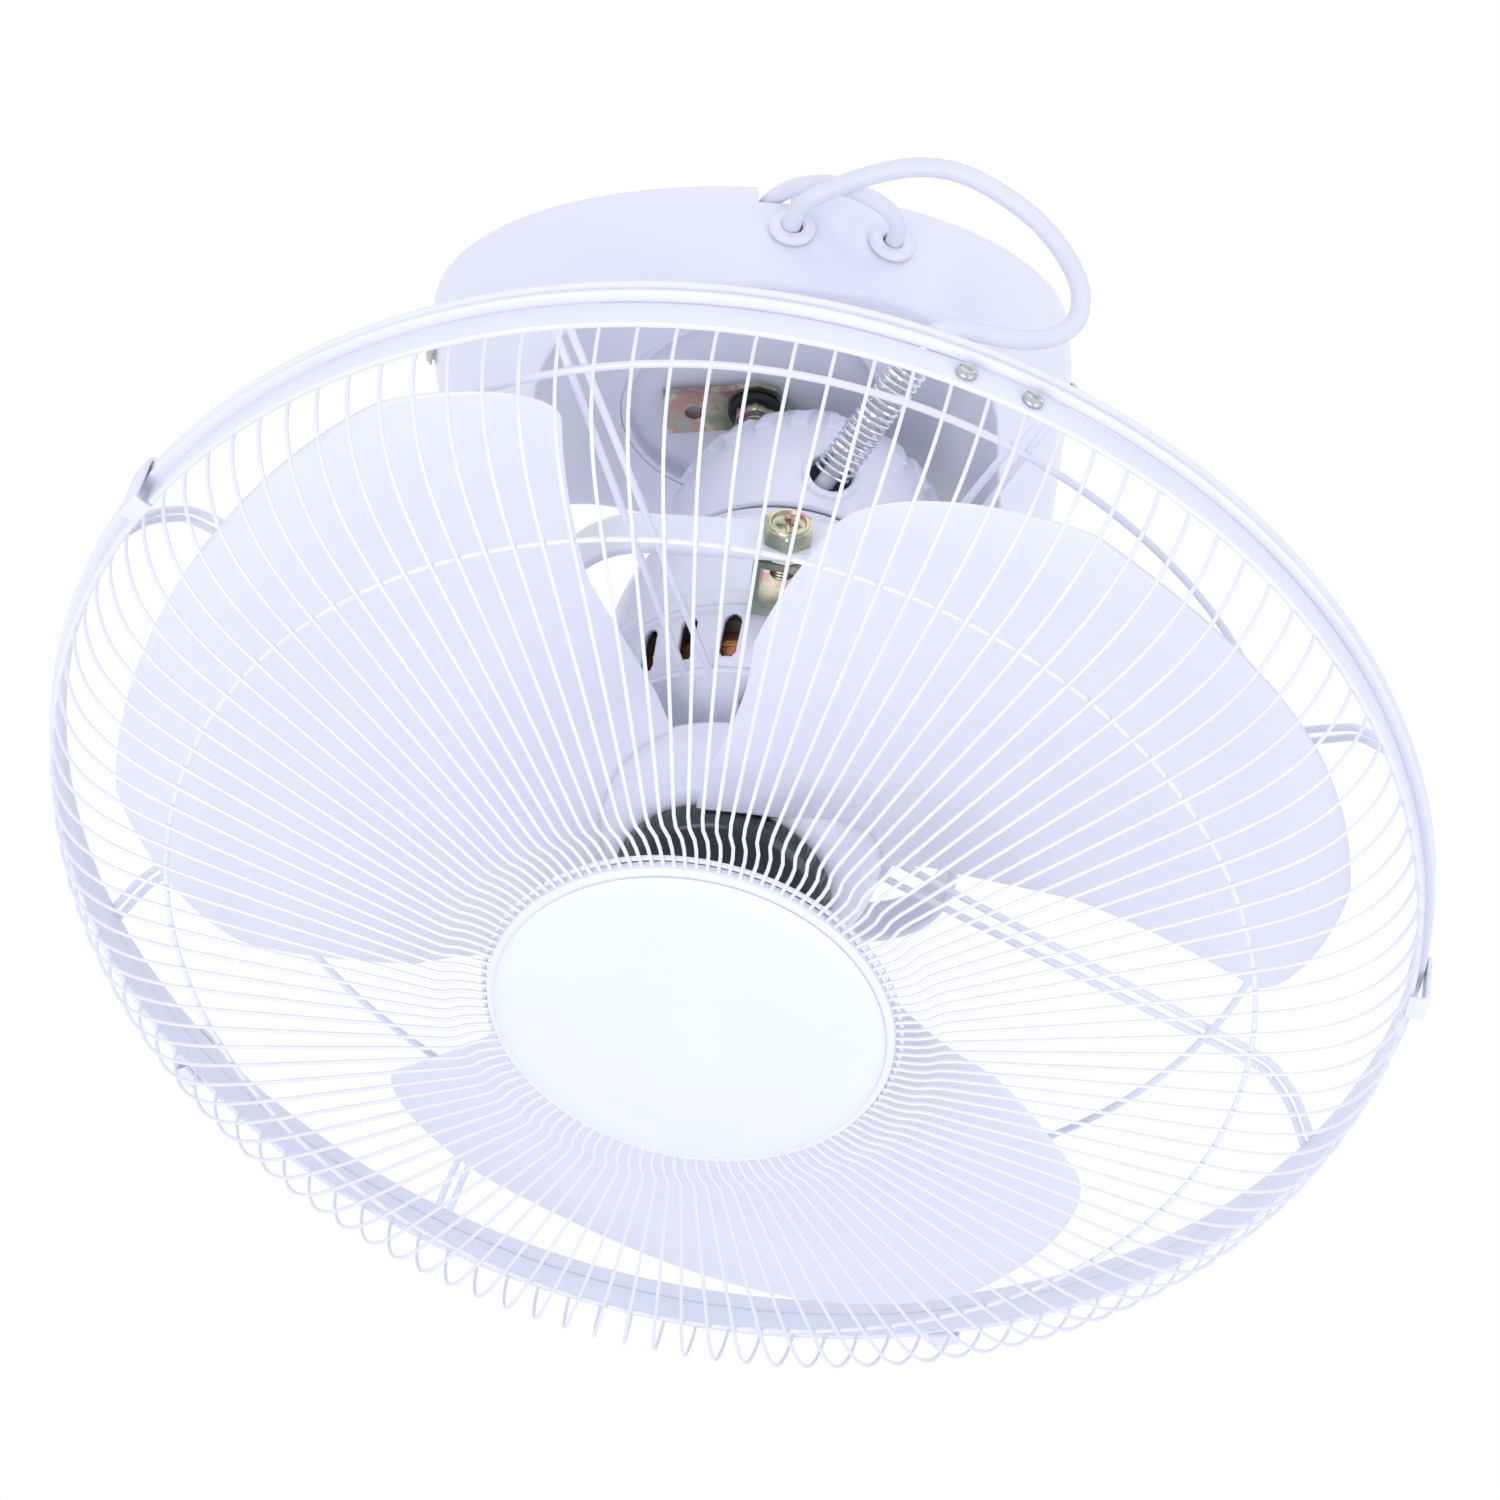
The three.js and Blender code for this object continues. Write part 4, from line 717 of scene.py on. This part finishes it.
def makeCanopy(s):
    quarter = canopyQuarter(s)
    faces = gridFaces(*quarter.shape[:2])
    points, faces = joinParts([
        (quarter.reshape(-1, 3) * (sx, sy, 1), faces if sx * sy > 0 else faces[:, ::-1])
        for sx in (1, -1) for sy in (1, -1)])
    faces = np.asarray(faces)
    x, y, z = points[faces].mean(1).T
    left, right, back, low = s["notch"]
    inNotch = (x > left) & (x < right) & (y < back) & (z > low)
    shell = meshPiece("canopyShell", points, faces[~inNotch], smoothAngle=50)
    # the wall thins towards the lower edge, so that its inner side stays between the faces that meet there
    run = np.cumsum(np.linalg.norm(np.diff(quarter, axis=0, prepend=quarter[:1]), axis=2), 0)
    fromEdge = np.abs(run - run[s["outerRows"] + 2])
    share = np.tile(np.round(np.clip(fromEdge / s["thinWithin"], s["thinnest"], 1), 1).ravel(), 4)
    group = shell.vertex_groups.new(name="wall")
    for level in np.unique(share):
        group.add(np.flatnonzero(share == level).tolist(), float(level), "REPLACE")
    facesOut(shell, 5e-6)
    modified(shell, "SOLIDIFY", thickness=s["wall"] * mm, offset=-1, use_even_offset=False, use_rim=True,
             vertex_group="wall")
    edge, top, roof, radius = s["dishRadius"] + s["dishLip"], s["dishTop"], s["archTop"], s["dishRadius"]
    cutBy(shell, [rod(edge, -70, roof + s["wall"] + 1, 128)]
          + [moved(rod(s["grommetHole"], -9, 9), aimedPlace(*grommetSeat(s, x))) for x, *_ in s["grommets"]])
    dish = meshPiece("canopyDish", *turned([
        (s["dishHole"], top), (radius - 0.6, top), (radius, roof), (edge, roof), (edge, top + s["wall"]),
        (s["dishHole"], top + s["wall"])], 160, 1.0, 5, closed=True))
    shell.data.set_sharp_from_angle(angle=math.radians(40))
    shell.data.materials.append(finishes["shell_white"])
    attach(shell, "canopy_body")
    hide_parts("canopy")
    finished(dish, "canopy_body", "shell_white")


def grommetSeat(s, x):
    # the place on the near wall, and the way it faces
    a = s["seatHalf"]
    b = a * s["halfY"] / s["halfX"]
    depth = math.sqrt(1 - (x / a) ** 2)
    return (x, -b * depth, s["grommetHeight"]), (x / a ** 2, -depth / b, 0)


def makeGrommets(s):
    for x, radius, name, node in s["grommets"]:
        bore = radius + 0.15
        profile = [(bore, -5.4), (8, -5.4), (8, -4), (5.9, -4), (5.9, 0.2), (8, 0.2), (8.1, 1.6), (7, 2.9),
                   (radius + 0.9, 2.9), (bore, 2.1)]
        put(name, turned(profile, 64, 0.9, 4, closed=True), "canopy_body", "shell_white", node,
            place=aimedPlace(*grommetSeat(s, x)))


makeCanopy(canopySettings)
makeGrommets(canopySettings)
print("canopy made")


# hanger and crank
def threaded(radius, low, high, pitch=1.25, depth=0.3, sides=48):
    # a stud whose radius waves along its length: r - depth (0.5 + 0.5 cos(2 pi z / pitch - a))
    z = np.arange(low, high, pitch / 8)[:, None]
    angle = roundAngles(sides)
    r = radius - depth * (0.5 + 0.5 * np.cos(2 * np.pi * (z / pitch) - angle))
    r[0] = r[-1] = radius - 1
    return polar(r, angle, z).reshape(-1, 3), tubeFaces(len(z), sides)


def hexagon(across, angle):
    # the radius of a hexagon at each angle
    return across / 2 / np.cos((angle + np.pi / 6) % (np.pi / 3) - np.pi / 6)


def hexNut(across, bore, low, high, corner=0.6, sides=72):
    # six flats whose upper and lower corners are turned off, round a bore
    angle = roundAngles(sides)
    flat = hexagon(across, angle)
    ends = np.minimum(flat, across / 2 + 0.05)
    stops = (ends, low), (flat, low + corner), (flat, high - corner), (ends, high), (bore, high), (bore, low)
    return (np.concatenate([polar(r, angle, z) for r, z in stops]),
            gridFaces(len(stops), sides, closedRows=True, closedColumns=True))


hangerSettings = {
    "stud": (4, -54, -6.8), "nut": (13, 4.1, -53.4, -49.9), "pinReach": 29, "pinAzimuth": 35.6,
    "bush": [(4.2, -49.6), (8.4, -49.6), (9.2, -48.8), (9.2, -47.1), (4.2, -47.1)],
    "pin": [(0.01, -50.8), (4.6, -50.8), (5, -50.2), (5, -47.1), (3, -47.1), (3, -43.7), (0.01, -43.7)],
}


def makeHanger(s):
    put("centreStud", threaded(*s["stud"]), "canopy_body", "zinc", "centre_stud")
    put("centreNut", hexNut(*s["nut"]), "canopy_body", "zinc", "centre_nut", smoothAngle=25)
    put("centreBush", turned(s["bush"], 72, 0.6, 4, closed=True), "canopy_body", "black_rubber", "centre_bush")
    a = math.radians(s["pinAzimuth"])
    place = Matrix.Translation(Vector((math.cos(a), math.sin(a), 0)) * s["pinReach"] * mm)
    put("crankPin", turned(s["pin"], 48, 0.4, 3), "crank_body", "steel", "crank_pin", place=place)


makeHanger(hangerSettings)
print("hanger made")

# gimbal
gimbalSettings = {"halfX": 72, "halfY": 86, "corner": 28, "height": 17, "strap": 3, "edge": 0.9}


def makeGimbal(s):
    inset = s["strap"] / 2
    path = roundedRectangle(s["halfX"] - inset, s["halfY"] - inset, s["corner"] - inset)
    ring = carriedSection(path, roundedSection(s["strap"], s["height"], s["edge"]), (0, 0, 1), closed=True)
    put("gimbalRing", ring, "gimbal_body", "enamel_white", "gimbal_ring", place=gimbalPlace)


makeGimbal(gimbalSettings)

boltSettings = {
    "seat": 86.3, "across": 14.6, "tall": 6.2, "rim": 6.1, "dish": 1.1, "shank": 4, "shankEnd": 71,
    "crossHalf": 3.6, "crossSide": 0.7, "crossDeep": 1.6, "sides": 96,
}


def makePitchBolts(s):
    # a hexagon whose corners are turned off, with a raised round rim and a cross recess inside it
    angle = roundAngles(s["sides"])
    seat, rim, top = s["seat"], s["rim"], s["seat"] + s["tall"]
    stops = [(0.01, seat), (99, seat), (99, top - 1.5), (s["across"] / 2 + 0.1, top - 0.7),
             (rim + 0.6, top - 0.5), (rim + 0.3, top), (rim - 0.4, top), (rim - 0.9, top - s["dish"]),
             (0.01, top - s["dish"] * 0.8)]
    points = np.concatenate([polar(np.minimum(hexagon(s["across"], angle), r), angle, z) for r, z in stops])
    low, half, side = top - s["dish"] - s["crossDeep"], s["crossHalf"], s["crossSide"]
    for turn, end in ((-1, "near"), (1, "far")):
        place = gimbalPlace @ aimedPlace((0, 0, 0), (0, turn, 0))
        bolt = meshPiece("pitchBolt" + end.capitalize(), points,
                         gridFaces(len(stops), s["sides"], closedColumns=True), smoothAngle=25)
        facesOut(bolt)
        cutBy(bolt, [block((-half, -side, low), (half, side, top + 1)),
                     block((-side, -half, low), (side, half, top + 1))])
        bolt.data.transform(place)
        finished(bolt, "gimbal_body", "zinc", "pitch_bolt_" + end)
        put("pitchShank" + end.capitalize(), threaded(s["shank"], s["shankEnd"], seat), "gimbal_body", "zinc",
            place=place)


makePitchBolts(boltSettings)

# motor
motorSettings = {
    "radius": 58, "wall": 2, "slots": 24, "slotWidth": 5.8, "slotLow": -23.5, "slotHigh": -5.5, "slotTurn": 2,
    "slotWithin": 40,
    "front": [(58, -2), (58, -4), (56.8, -6), (55.4, -20), (53, -27), (22, -27), (22, -36), (8.9, -36)],
    "rear": [(56, -1.6), (58, -1.6), (58, 4.5), (57, 6.5), (57, 36), (55.5, 47), (50, 57), (46, 62),
             (8.9, 62)],
}


def fineProfile(profile, radius, steps, spacing):
    # the rounded outline with more points between, as columns of r and z
    outline = roundedProfile(profile, radius, steps)
    run = runOf(outline)
    at = np.unique(np.round(np.concatenate([run, np.arange(0, run[-1], spacing)]), 3))
    return (np.interp(at, run, column)[:, None] for column in outline.T)


def slottedShell(profile, sides, openAt=None, radius=1.0, steps=4, spacing=1.2):
    # a profile carried round Z with the cells left out where openAt(azimuth, z, r) holds
    r, z = fineProfile(profile, radius, steps, spacing)
    angle = roundAngles(sides)
    faces = gridFaces(len(r), sides, closedColumns=True).reshape(len(r) - 1, sides, 4)
    if openAt:
        faces = faces[~openAt(angle + np.pi / sides, (z[1:] + z[:-1]) / 2, (r[1:] + r[:-1]) / 2)]
    return polar(r, angle, z).reshape(-1, 3), faces.reshape(-1, 4)


def walled(piece, thickness):
    facesOut(piece)
    return modified(piece, "SOLIDIFY", thickness=thickness * mm, offset=-1, use_even_offset=False)


def fromPitch(azimuth, count, turn):
    # the angle to the nearest of a number of even places
    pitch = 2 * np.pi / count
    return (azimuth - math.radians(turn) + pitch / 2) % pitch - pitch / 2


def makeMotor(s):
    half = s["slotWidth"] / 2

    def slots(azimuth, z, r):
        # slots with round ends
        away = fromPitch(azimuth, s["slots"], s["slotTurn"]) * r
        beyond = np.clip(z - (s["slotHigh"] - half), 0, None) + np.clip(s["slotLow"] + half - z, 0, None)
        return (away ** 2 + beyond ** 2 < half ** 2) & (r > s["slotWithin"])

    for name, node, part in (
            ("motorFrontCover", "motor_front_cover", slottedShell(s["front"], 720, slots, 1.6, spacing=0.7)),
            ("motorRearCover", "motor_rear_cover", slottedShell(s["rear"], 144, None, 2.4))):
        cover = meshPiece(name, *part, headPlace)
        finished(walled(cover, s["wall"]), "head_body", "shell_white", node)


makeMotor(motorSettings)

bellSettings = {
    "wall": 2.2, "notches": 16, "notchWidth": 3.6, "notchDepth": 3.2, "notchTurn": 7.5, "top": 127.8,
    "sides": 384, "teeth": 24, "tooth": 2.2, "toothLow": 104, "toothHigh": 122, "toothShare": 0.55,
    "toothRadius": 44, "side": [(48, 62.3), (48, 92), (47.2, 100), (45.2, 108.5), (41.8, 118), (36.2, 127.8)],
    "collar": [(7.4, -2), (7.4, 0.9), (7.9, 1.5), (9.2, 1.5), (9.8, 0.9), (9.9, -2)], "hole": 7.6,
    "oval": (1, 1.25, 1), "web": [(6, 100), (45.6, 100), (45, 102.5), (6, 102.5)], "stud": (4, 104, 135.5),
    "studFoot": [(0.01, 96), (4, 96), (4, 102.8), (12, 102.8), (12, 104.6), (4, 105), (0.01, 105)],
}


def flangePlace(s):
    # where the spring's axis leaves the bell's wall: X along the wall, Y up, Z out
    back = headPlace.inverted()
    start = (back @ (collar * mm)) / mm
    along = back.to_3x3() @ springAlong
    flat = along.xy
    short = start.xy.dot(flat) / flat.dot(flat)
    travel = -short + math.sqrt(short ** 2 + (s["side"][0][0] ** 2 - start.xy.dot(start.xy)) / flat.dot(flat))
    seat = start + along * travel
    out = Vector((seat.x, seat.y, 0)).normalized()
    turn = Matrix((Vector((0, 0, 1)).cross(out), (0, 0, 1), out)).transposed().to_4x4()
    return headPlace @ Matrix.Translation(seat * mm) @ turn


def makeBell(s):
    def notches(azimuth, z, r):
        away = np.abs(fromPitch(azimuth, s["notches"], s["notchTurn"])) * r
        return (away < s["notchWidth"] / 2) & (z > s["top"] - s["notchDepth"])

    points, faces = slottedShell(s["side"], s["sides"], notches, 6, 5)
    x, y, z = points.T
    tooth = 360 / s["teeth"]
    across = np.degrees(np.arctan2(y, x)) % tooth / tooth
    shoulder = np.clip((z - s["toothLow"]) / 0.8, 0, 1) * np.clip((s["toothHigh"] - z) / 5, 0, 1)
    swell = 1 + s["tooth"] * shoulder * (across < s["toothShare"]) / s["toothRadius"]
    bell = meshPiece("gearboxBell", np.column_stack([x * swell, y * swell, z]), faces, headPlace)
    walled(bell, s["wall"])
    place = flangePlace(s)
    hole, holeFaces = rod(s["hole"], -6, 6)
    cutBy(bell, [moved((hole * s["oval"], holeFaces), place)])
    finished(bell, "head_body", "shell_white", "gearbox_cover")
    ring, ringFaces = turned(s["collar"], 72, 0.5, 3, closed=True)
    put("bellCollar", (ring * s["oval"], ringFaces), "head_body", "shell_white", place=place)
    onHead("bellWeb", turned(s["web"], 96, 0.4, 2, closed=True), "shell_white")
    stud = joinParts([threaded(*s["stud"]), turned(s["studFoot"], 48, 0.3, 2)])
    onHead("tailStud", stud, "steel", "tail_stud")


makeBell(bellSettings)
print("motor made")

# strain-relief spring and clip
springSettings = {
    "curls": 20, "mean": 5.8, "wire": 0.7, "foot": 1.6, "stepsPerCurl": 28,
    "clip": [(3.4, 0), (5.2, 0), (5.6, 0.5), (5.6, 5.4), (5.2, 6), (3.4, 6)],
}


def makeSpring(s):
    foot = collar + springAlong * s["foot"]
    length = (Vector(cordSettings["springTip"]) - foot).length
    side = Vector((0, 0, 1)).cross(springAlong).normalized()
    third = springAlong.cross(side)
    t = np.linspace(0, 1, s["curls"] * s["stepsPerCurl"] + 1)
    angle = 2 * np.pi * s["curls"] * t
    path = (np.array(foot) + np.outer(t * length, springAlong)
            + s["mean"] * (np.outer(np.cos(angle), side) + np.outer(np.sin(angle), third)))
    put("cordSpring", carriedTube(path, s["wire"], 8), "head_body", "spring_steel", "cord_spring")
    put("cordClip", turned(s["clip"], 56, 0.4, 3, closed=True), "head_body", "steel", "cord_clip",
        place=aimedPlace(clipPlace, springAlong))


makeSpring(springSettings)
declareCords(cords)

# guards
guardSettings = {
    "radius": 219.5, "wires": 120, "wire": 0.61, "wireRows": 46, "bandTop": -60, "bandLow": -70, "bandThick": 2,
    "route": [(218.2, -64.5), (217.6, -72), (214, -82), (206.5, -93), (196, -101), (184, -106), (171, -109.4),
              (140, -115.8), (110, -121.8), (82, -127.4), (78.5, -128.0), (73.5, -128.7), (70.5, -129),
              (62, -129.6)],
    "joggle": (80.5, 71.5, 2.6), "middleRing": (171, -107.9, 0.85), "innerRing": (65.2, -128.0, 0.8),
    "plate": [(52, -131.2), (63.6, -131.2), (63.6, -127.6), (52, -127.6)],
    "spokePairs": 8, "spokeSpread": 5, "spokeClose": 0.6, "spoke": 1.2, "firstSpoke": 22.5,
    "plateHeight": -29.2, "plateRadii": (23, 54), "holes": 6, "holeRadius": 6, "holeReach": 40,
    "shoulder": (203, -30), "rearRing": (176, -31.6, 1.2), "rimTop": -53, "rimLow": -59,
}


def smoothRoute(points, count, steps=12):
    # a Catmull-Rom curve through (r, z) points at even steps
    path = throughPoints([(r, 0, z) for r, z in points], steps)[:, [0, 2]]
    run = runOf(path)
    at = np.linspace(0, run[-1], count)
    return (np.interp(at, run, column) for column in path.T)


def makeFrontGuard(s):
    r, z = smoothRoute(s["route"], s["wireRows"])
    high, low, shift = s["joggle"]
    share = np.clip((high - r) / (high - low), 0, 1)
    points, faces = carriedTube(np.stack([r, shift * share ** 2 * (3 - 2 * share), z], -1), s["wire"], 6)
    parts = [(turnZ(points, 360 / s["wires"] * k), faces) for k in range(s["wires"])]
    middle = (s["bandTop"] + s["bandLow"]) / 2
    section = roundedSection(s["bandThick"], s["bandTop"] - s["bandLow"], 0.7)
    band = hoop(s["radius"] - s["bandThick"] / 2, middle, section, 360)
    onHead("frontBand", band, "enamel_white", "front_band")
    for radius, height, wire in (s["middleRing"], s["innerRing"]):
        parts.append(hoop(radius, height, wireSection(wire, 8), 300))
    parts.append(turned(s["plate"], 180, 0.6, 3, closed=True))
    onHead("frontGuard", joinParts(parts), "enamel_white", "front_guard")


def makeRearGuard(s):
    parts = []
    r, top, low, level, close = s["radius"], s["rimTop"], s["rimLow"], s["plateHeight"], s["spokeClose"]
    edge, high = s["shoulder"]
    stops = [(50, level, s["spokeSpread"]), (edge - 12, high + 0.3, 0.7), (edge - 3, high - 0.6, close),
             (edge + 2, high - 4, close), (edge + 8, high - 10, close), (r - 1.5, top - 1, close)]
    for k in range(s["spokePairs"]):
        middle = s["firstSpoke"] + 360 / s["spokePairs"] * k
        for side in (-1, 1):
            path = [polar(radius, math.radians(middle + side * spread), height)
                    for radius, height, spread in stops]
            path = np.concatenate([np.linspace(path[0], path[1], 12)[:-1], throughPoints(path[1:], 6)])
            parts.append(carriedTube(path, s["spoke"], 10))
    radius, height, wire = s["rearRing"]
    onHead("rearRing", hoop(radius, height, wireSection(wire, 10), 260), "enamel_white", "rear_ring")
    rim = turned([(r - 1, top), (r + 2.4, top), (r + 3, top - 0.8), (r + 2.6, top - 1.8),
                  (r + 1.4, (top + low) / 2), (r + 2.6, low + 1.8), (r + 3, low + 0.8), (r + 2.4, low),
                  (r - 1, low)], 300, 0.5, 3, closed=True)
    onHead("rearRim", rim, "enamel_white", "rear_rim")
    inner, outer = s["plateRadii"]
    corners = [(inner, level - 1), (outer, level - 1), (outer, level + 1), (inner, level + 1)]
    plate = meshPiece("rearGuardPlate", *turned(corners, 144, 0.5, 3, closed=True))
    facesOut(plate)
    hole, holeFaces = rod(s["holeRadius"], -40, -20)
    cutBy(plate, [(turnZ(hole + (s["holeReach"], 0, 0), 360 / s["holes"] * k + 30), holeFaces)
                  for k in range(s["holes"])])
    plate.data.transform(headPlace)
    finished(plate, "head_body", "enamel_white")
    onHead("rearGuard", joinParts(parts), "enamel_white", "rear_guard")


makeFrontGuard(guardSettings)
makeRearGuard(guardSettings)

trimSettings = {
    "clips": (64, 141, 210, 359), "clipWidth": 9, "clipThick": 1.5, "screws": (-77.2, -71.8),
    "screwHeight": -65, "screwSlot": 0.45,
    "nut": [(22.2, -30.5), (31, -30.5), (31, -34), (28, -36.5), (22.2, -36.5)],
    "badge": [(0.01, -134.6), (40, -134.4), (55, -133.8), (59.4, -133.1), (60.9, -132.2), (60.7, -131.45),
              (0.01, -131.45)],
}


def makeGuardTrim(s, r):
    # clips round the rims and screws through the band, both from the guard's radius outwards
    path = np.array([(r + out, 0, z) for out, z in (
        (-1.4, -71.2), (2.6, -71.2), (4.0, -70.6), (4.2, -69), (4.2, -54), (4.0, -52.4), (2.6, -51.8),
        (-1.4, -51.8))])
    points, faces = carriedSection(path, roundedSection(s["clipThick"], s["clipWidth"], 0.5), (0, 1, 0))
    for index, azimuth in enumerate(s["clips"], 1):
        onHead(f"guardClip{index}", (turnZ(points, azimuth), faces), "enamel_white", f"guard_clip_{index}")
    head = turned([(0.01, r - 4), (1.5, r - 4), (1.5, r + 0.2), (3.3, r + 0.2), (3.2, r + 1.3),
                   (2.2, r + 2.2), (0.01, r + 2.5)], 40, 0.4, 3)
    for index, azimuth in enumerate(s["screws"], 1):
        a = math.radians(azimuth)
        screw = meshPiece(f"bandScrew{index}", *head)
        facesOut(screw)
        cutBy(screw, [block((-4, -s["screwSlot"], r + 1.5), (4, s["screwSlot"], r + 4))])
        screw.data.transform(headPlace @ aimedPlace((0, 0, s["screwHeight"]), (math.cos(a), math.sin(a), 0)))
        finished(screw, "head_body", "steel", f"band_screw_{index}")
    onHead("guardNut", turned(s["nut"], 120, 0.8, 4, closed=True), "shell_white", "guard_nut")
    onHead("badge", turned(s["badge"], 200, 1.6, 6), "shell_white", "badge")


makeGuardTrim(trimSettings, guardSettings["radius"])
print("guards made")

# blades
bladeSettings = {
    "root": 36, "tip": 196, "span": 92, "lead": -44, "trail": -80, "thick": 2, "first": 2, "rows": 80,
    "columns": 56,
    "hub": [(4.3, -39), (14, -39), (14, -45), (45.5, -45), (48, -47.5), (47.4, -56), (44, -63.5), (39, -68.6),
            (36, -70), (4.3, -70)],
}


def pastStart(r, start, length):
    # how far the radius is past a start, in shares of a length
    return np.clip((r - start) / length, 0, None)


def bladeSurface(s):
    # a sheet whose height waves from the trailing to the leading edge, with rounded thin edges:
    # half thickness is (1 - (2u - 1)^10)^(1/2) across and falls to nothing at the tip
    t = np.linspace(0, 1, s["rows"])[:, None]
    r = s["root"] + (s["tip"] - s["root"]) * np.sin(t * np.pi / 2)
    u = (1 - np.cos(np.pi * np.linspace(0, 1, s["columns"]))) / 2
    lead = -2 + 10 * pastStart(r, 110, 90) - 18 * pastStart(r, 172, 24) ** 2
    trail = (-s["span"] - 16 * np.clip(1 - (r - 40) / 60, 0, None) ** 2 + 8 * pastStart(r, 110, 60)
             + 17 * pastStart(r, 160, 36) ** 2)
    azimuth = np.radians(trail + (lead - trail) * u)
    twist = 1 - 0.35 * (r - 38) / (s["tip"] - 38)
    middle = (s["lead"] + s["trail"]) / 2
    flatter = 0.6 + 0.4 * np.clip((r - s["root"]) / 26, 0, 1)  # the root lies behind the spinner
    half = (s["lead"] - s["trail"]) / 2 * (twist * flatter)
    height = middle + half * np.sin((u - 0.5) * np.pi) - 3 * np.sin(u * np.pi) - s["thick"] / 2
    thin = s["thick"] / 2 * np.sqrt(1 - (2 * u - 1) ** 10) * np.sqrt(1 - t ** 40)
    upper, lower = polar(r, azimuth, height + thin), polar(r, azimuth, height - thin)
    loop = np.concatenate([upper, lower[:, ::-1][:, 1:-1]], 1)
    rows, columns = loop.shape[:2]
    faces = gridFaces(rows, columns, closedColumns=True).tolist() + [list(range(columns))[::-1]]
    return loop.reshape(-1, 3), faces


def makeBlades(s):
    points, faces = bladeSurface(s)
    parts = [(turnZ(points, 120 * k + s["first"]), faces) for k in range(3)]
    parts.append(turned(s["hub"], 160, 1.6, 5, closed=True))
    onHead("bladeSet", joinParts(parts), "blade_white", "blade_set", body="rotor_body", smoothAngle=50)


spinnerSettings = {
    "outline": [(0.01, -83.4), (12, -83.2), (24, -82), (32, -79), (35, -75.2), (35, -70.3), (4.3, -70.3)],
    "sides": 480, "ribs": 60, "ribDeep": 0.35, "ribLow": -77, "ribHigh": -70.9, "ribFade": 0.8,
    "ribWithin": 30,
}


def makeSpinner(s):
    # a dome whose skirt is ribbed: r - deep (0.5 + 0.5 cos(60 a)) between two heights
    r, z = fineProfile(s["outline"], 2.2, 6, 0.7)
    angle = roundAngles(s["sides"])
    ribs = np.clip(np.minimum(z - s["ribLow"], s["ribHigh"] - z) / s["ribFade"], 0, 1) * (r > s["ribWithin"])
    points = polar(r - s["ribDeep"] * ribs * (0.5 + 0.5 * np.cos(s["ribs"] * angle)), angle, z)
    part = points.reshape(-1, 3), gridFaces(len(r), s["sides"], closedColumns=True)
    onHead("spinner", part, "black_plastic", "spinner_nut", body="rotor_body")


makeBlades(bladeSettings)
makeSpinner(spinnerSettings)
print("blades made")

# solids that stay, and their finishes
for part in frame["record"]["subparts"]:
    node = frame["nodes"][part["node"]]
    node.data.materials.clear()
    node.data.materials.append(finishes[part["material_slot"]])

# floor, light and background
studioSettings = {
    "floorHeight": -2.3, "floorSize": 9, "floorColor": (0.86, 0.86, 0.87, 1), "floorRoughness": 0.8,
    "worldStrength": 0.86, "cast": (0.90, 0.912, 1.0), "aim": (0, 0, -0.15),
    "lamps": (("key", (-1.0, -1.1, -1.7), 1.2, 18), ("fill", (1.3, -0.8, -1.6), 1.4, 10),
              ("top", (0.3, -1.0, 1.3), 1.6, 4)),
}


def makeStudio(s):
    bpy.ops.mesh.primitive_plane_add(size=s["floorSize"], location=(0, 0, s["floorHeight"]))
    floor = bpy.context.object
    floor.name = "floor"
    material = bpy.data.materials.new("paleFloor")
    material.use_nodes = True
    shader = material.node_tree.nodes["Principled BSDF"]
    shader.inputs["Base Color"].default_value = s["floorColor"]
    shader.inputs["Roughness"].default_value = s["floorRoughness"]
    floor.data.materials.append(material)
    world = bpy.data.worlds.new("studio")
    scene.world = world
    world.use_nodes = True
    tree = world.node_tree
    background = tree.nodes["Background"]
    paths = tree.nodes.new("ShaderNodeLightPath")
    camera, glossy, through = (Wire(tree, paths.outputs[f"Is {kind} Ray"])
                               for kind in ("Camera", "Glossy", "Transmission"))
    seen = camera.maths("MAXIMUM", camera.maths("MAXIMUM", camera, glossy), through)
    feed(background, "Color", seen.mixed(s["cast"], (1, 1, 1)))  # the lamps' cast only where it isn't seen
    feed(background, "Strength", seen * (1 - s["worldStrength"]) + s["worldStrength"])
    for name, place, size, power in s["lamps"]:
        data = bpy.data.lights.new(name, "AREA")
        data.size = size
        data.energy = power
        data.color = s["cast"]
        lamp = bpy.data.objects.new(name, data)
        aim = (Vector(s["aim"]) - Vector(place)).to_track_quat("-Z", "Y")
        lamp.matrix_world = Matrix.Translation(place) @ aim.to_matrix().to_4x4()
        scene.collection.objects.link(lamp)


makeStudio(studioSettings)
print("studio lit")
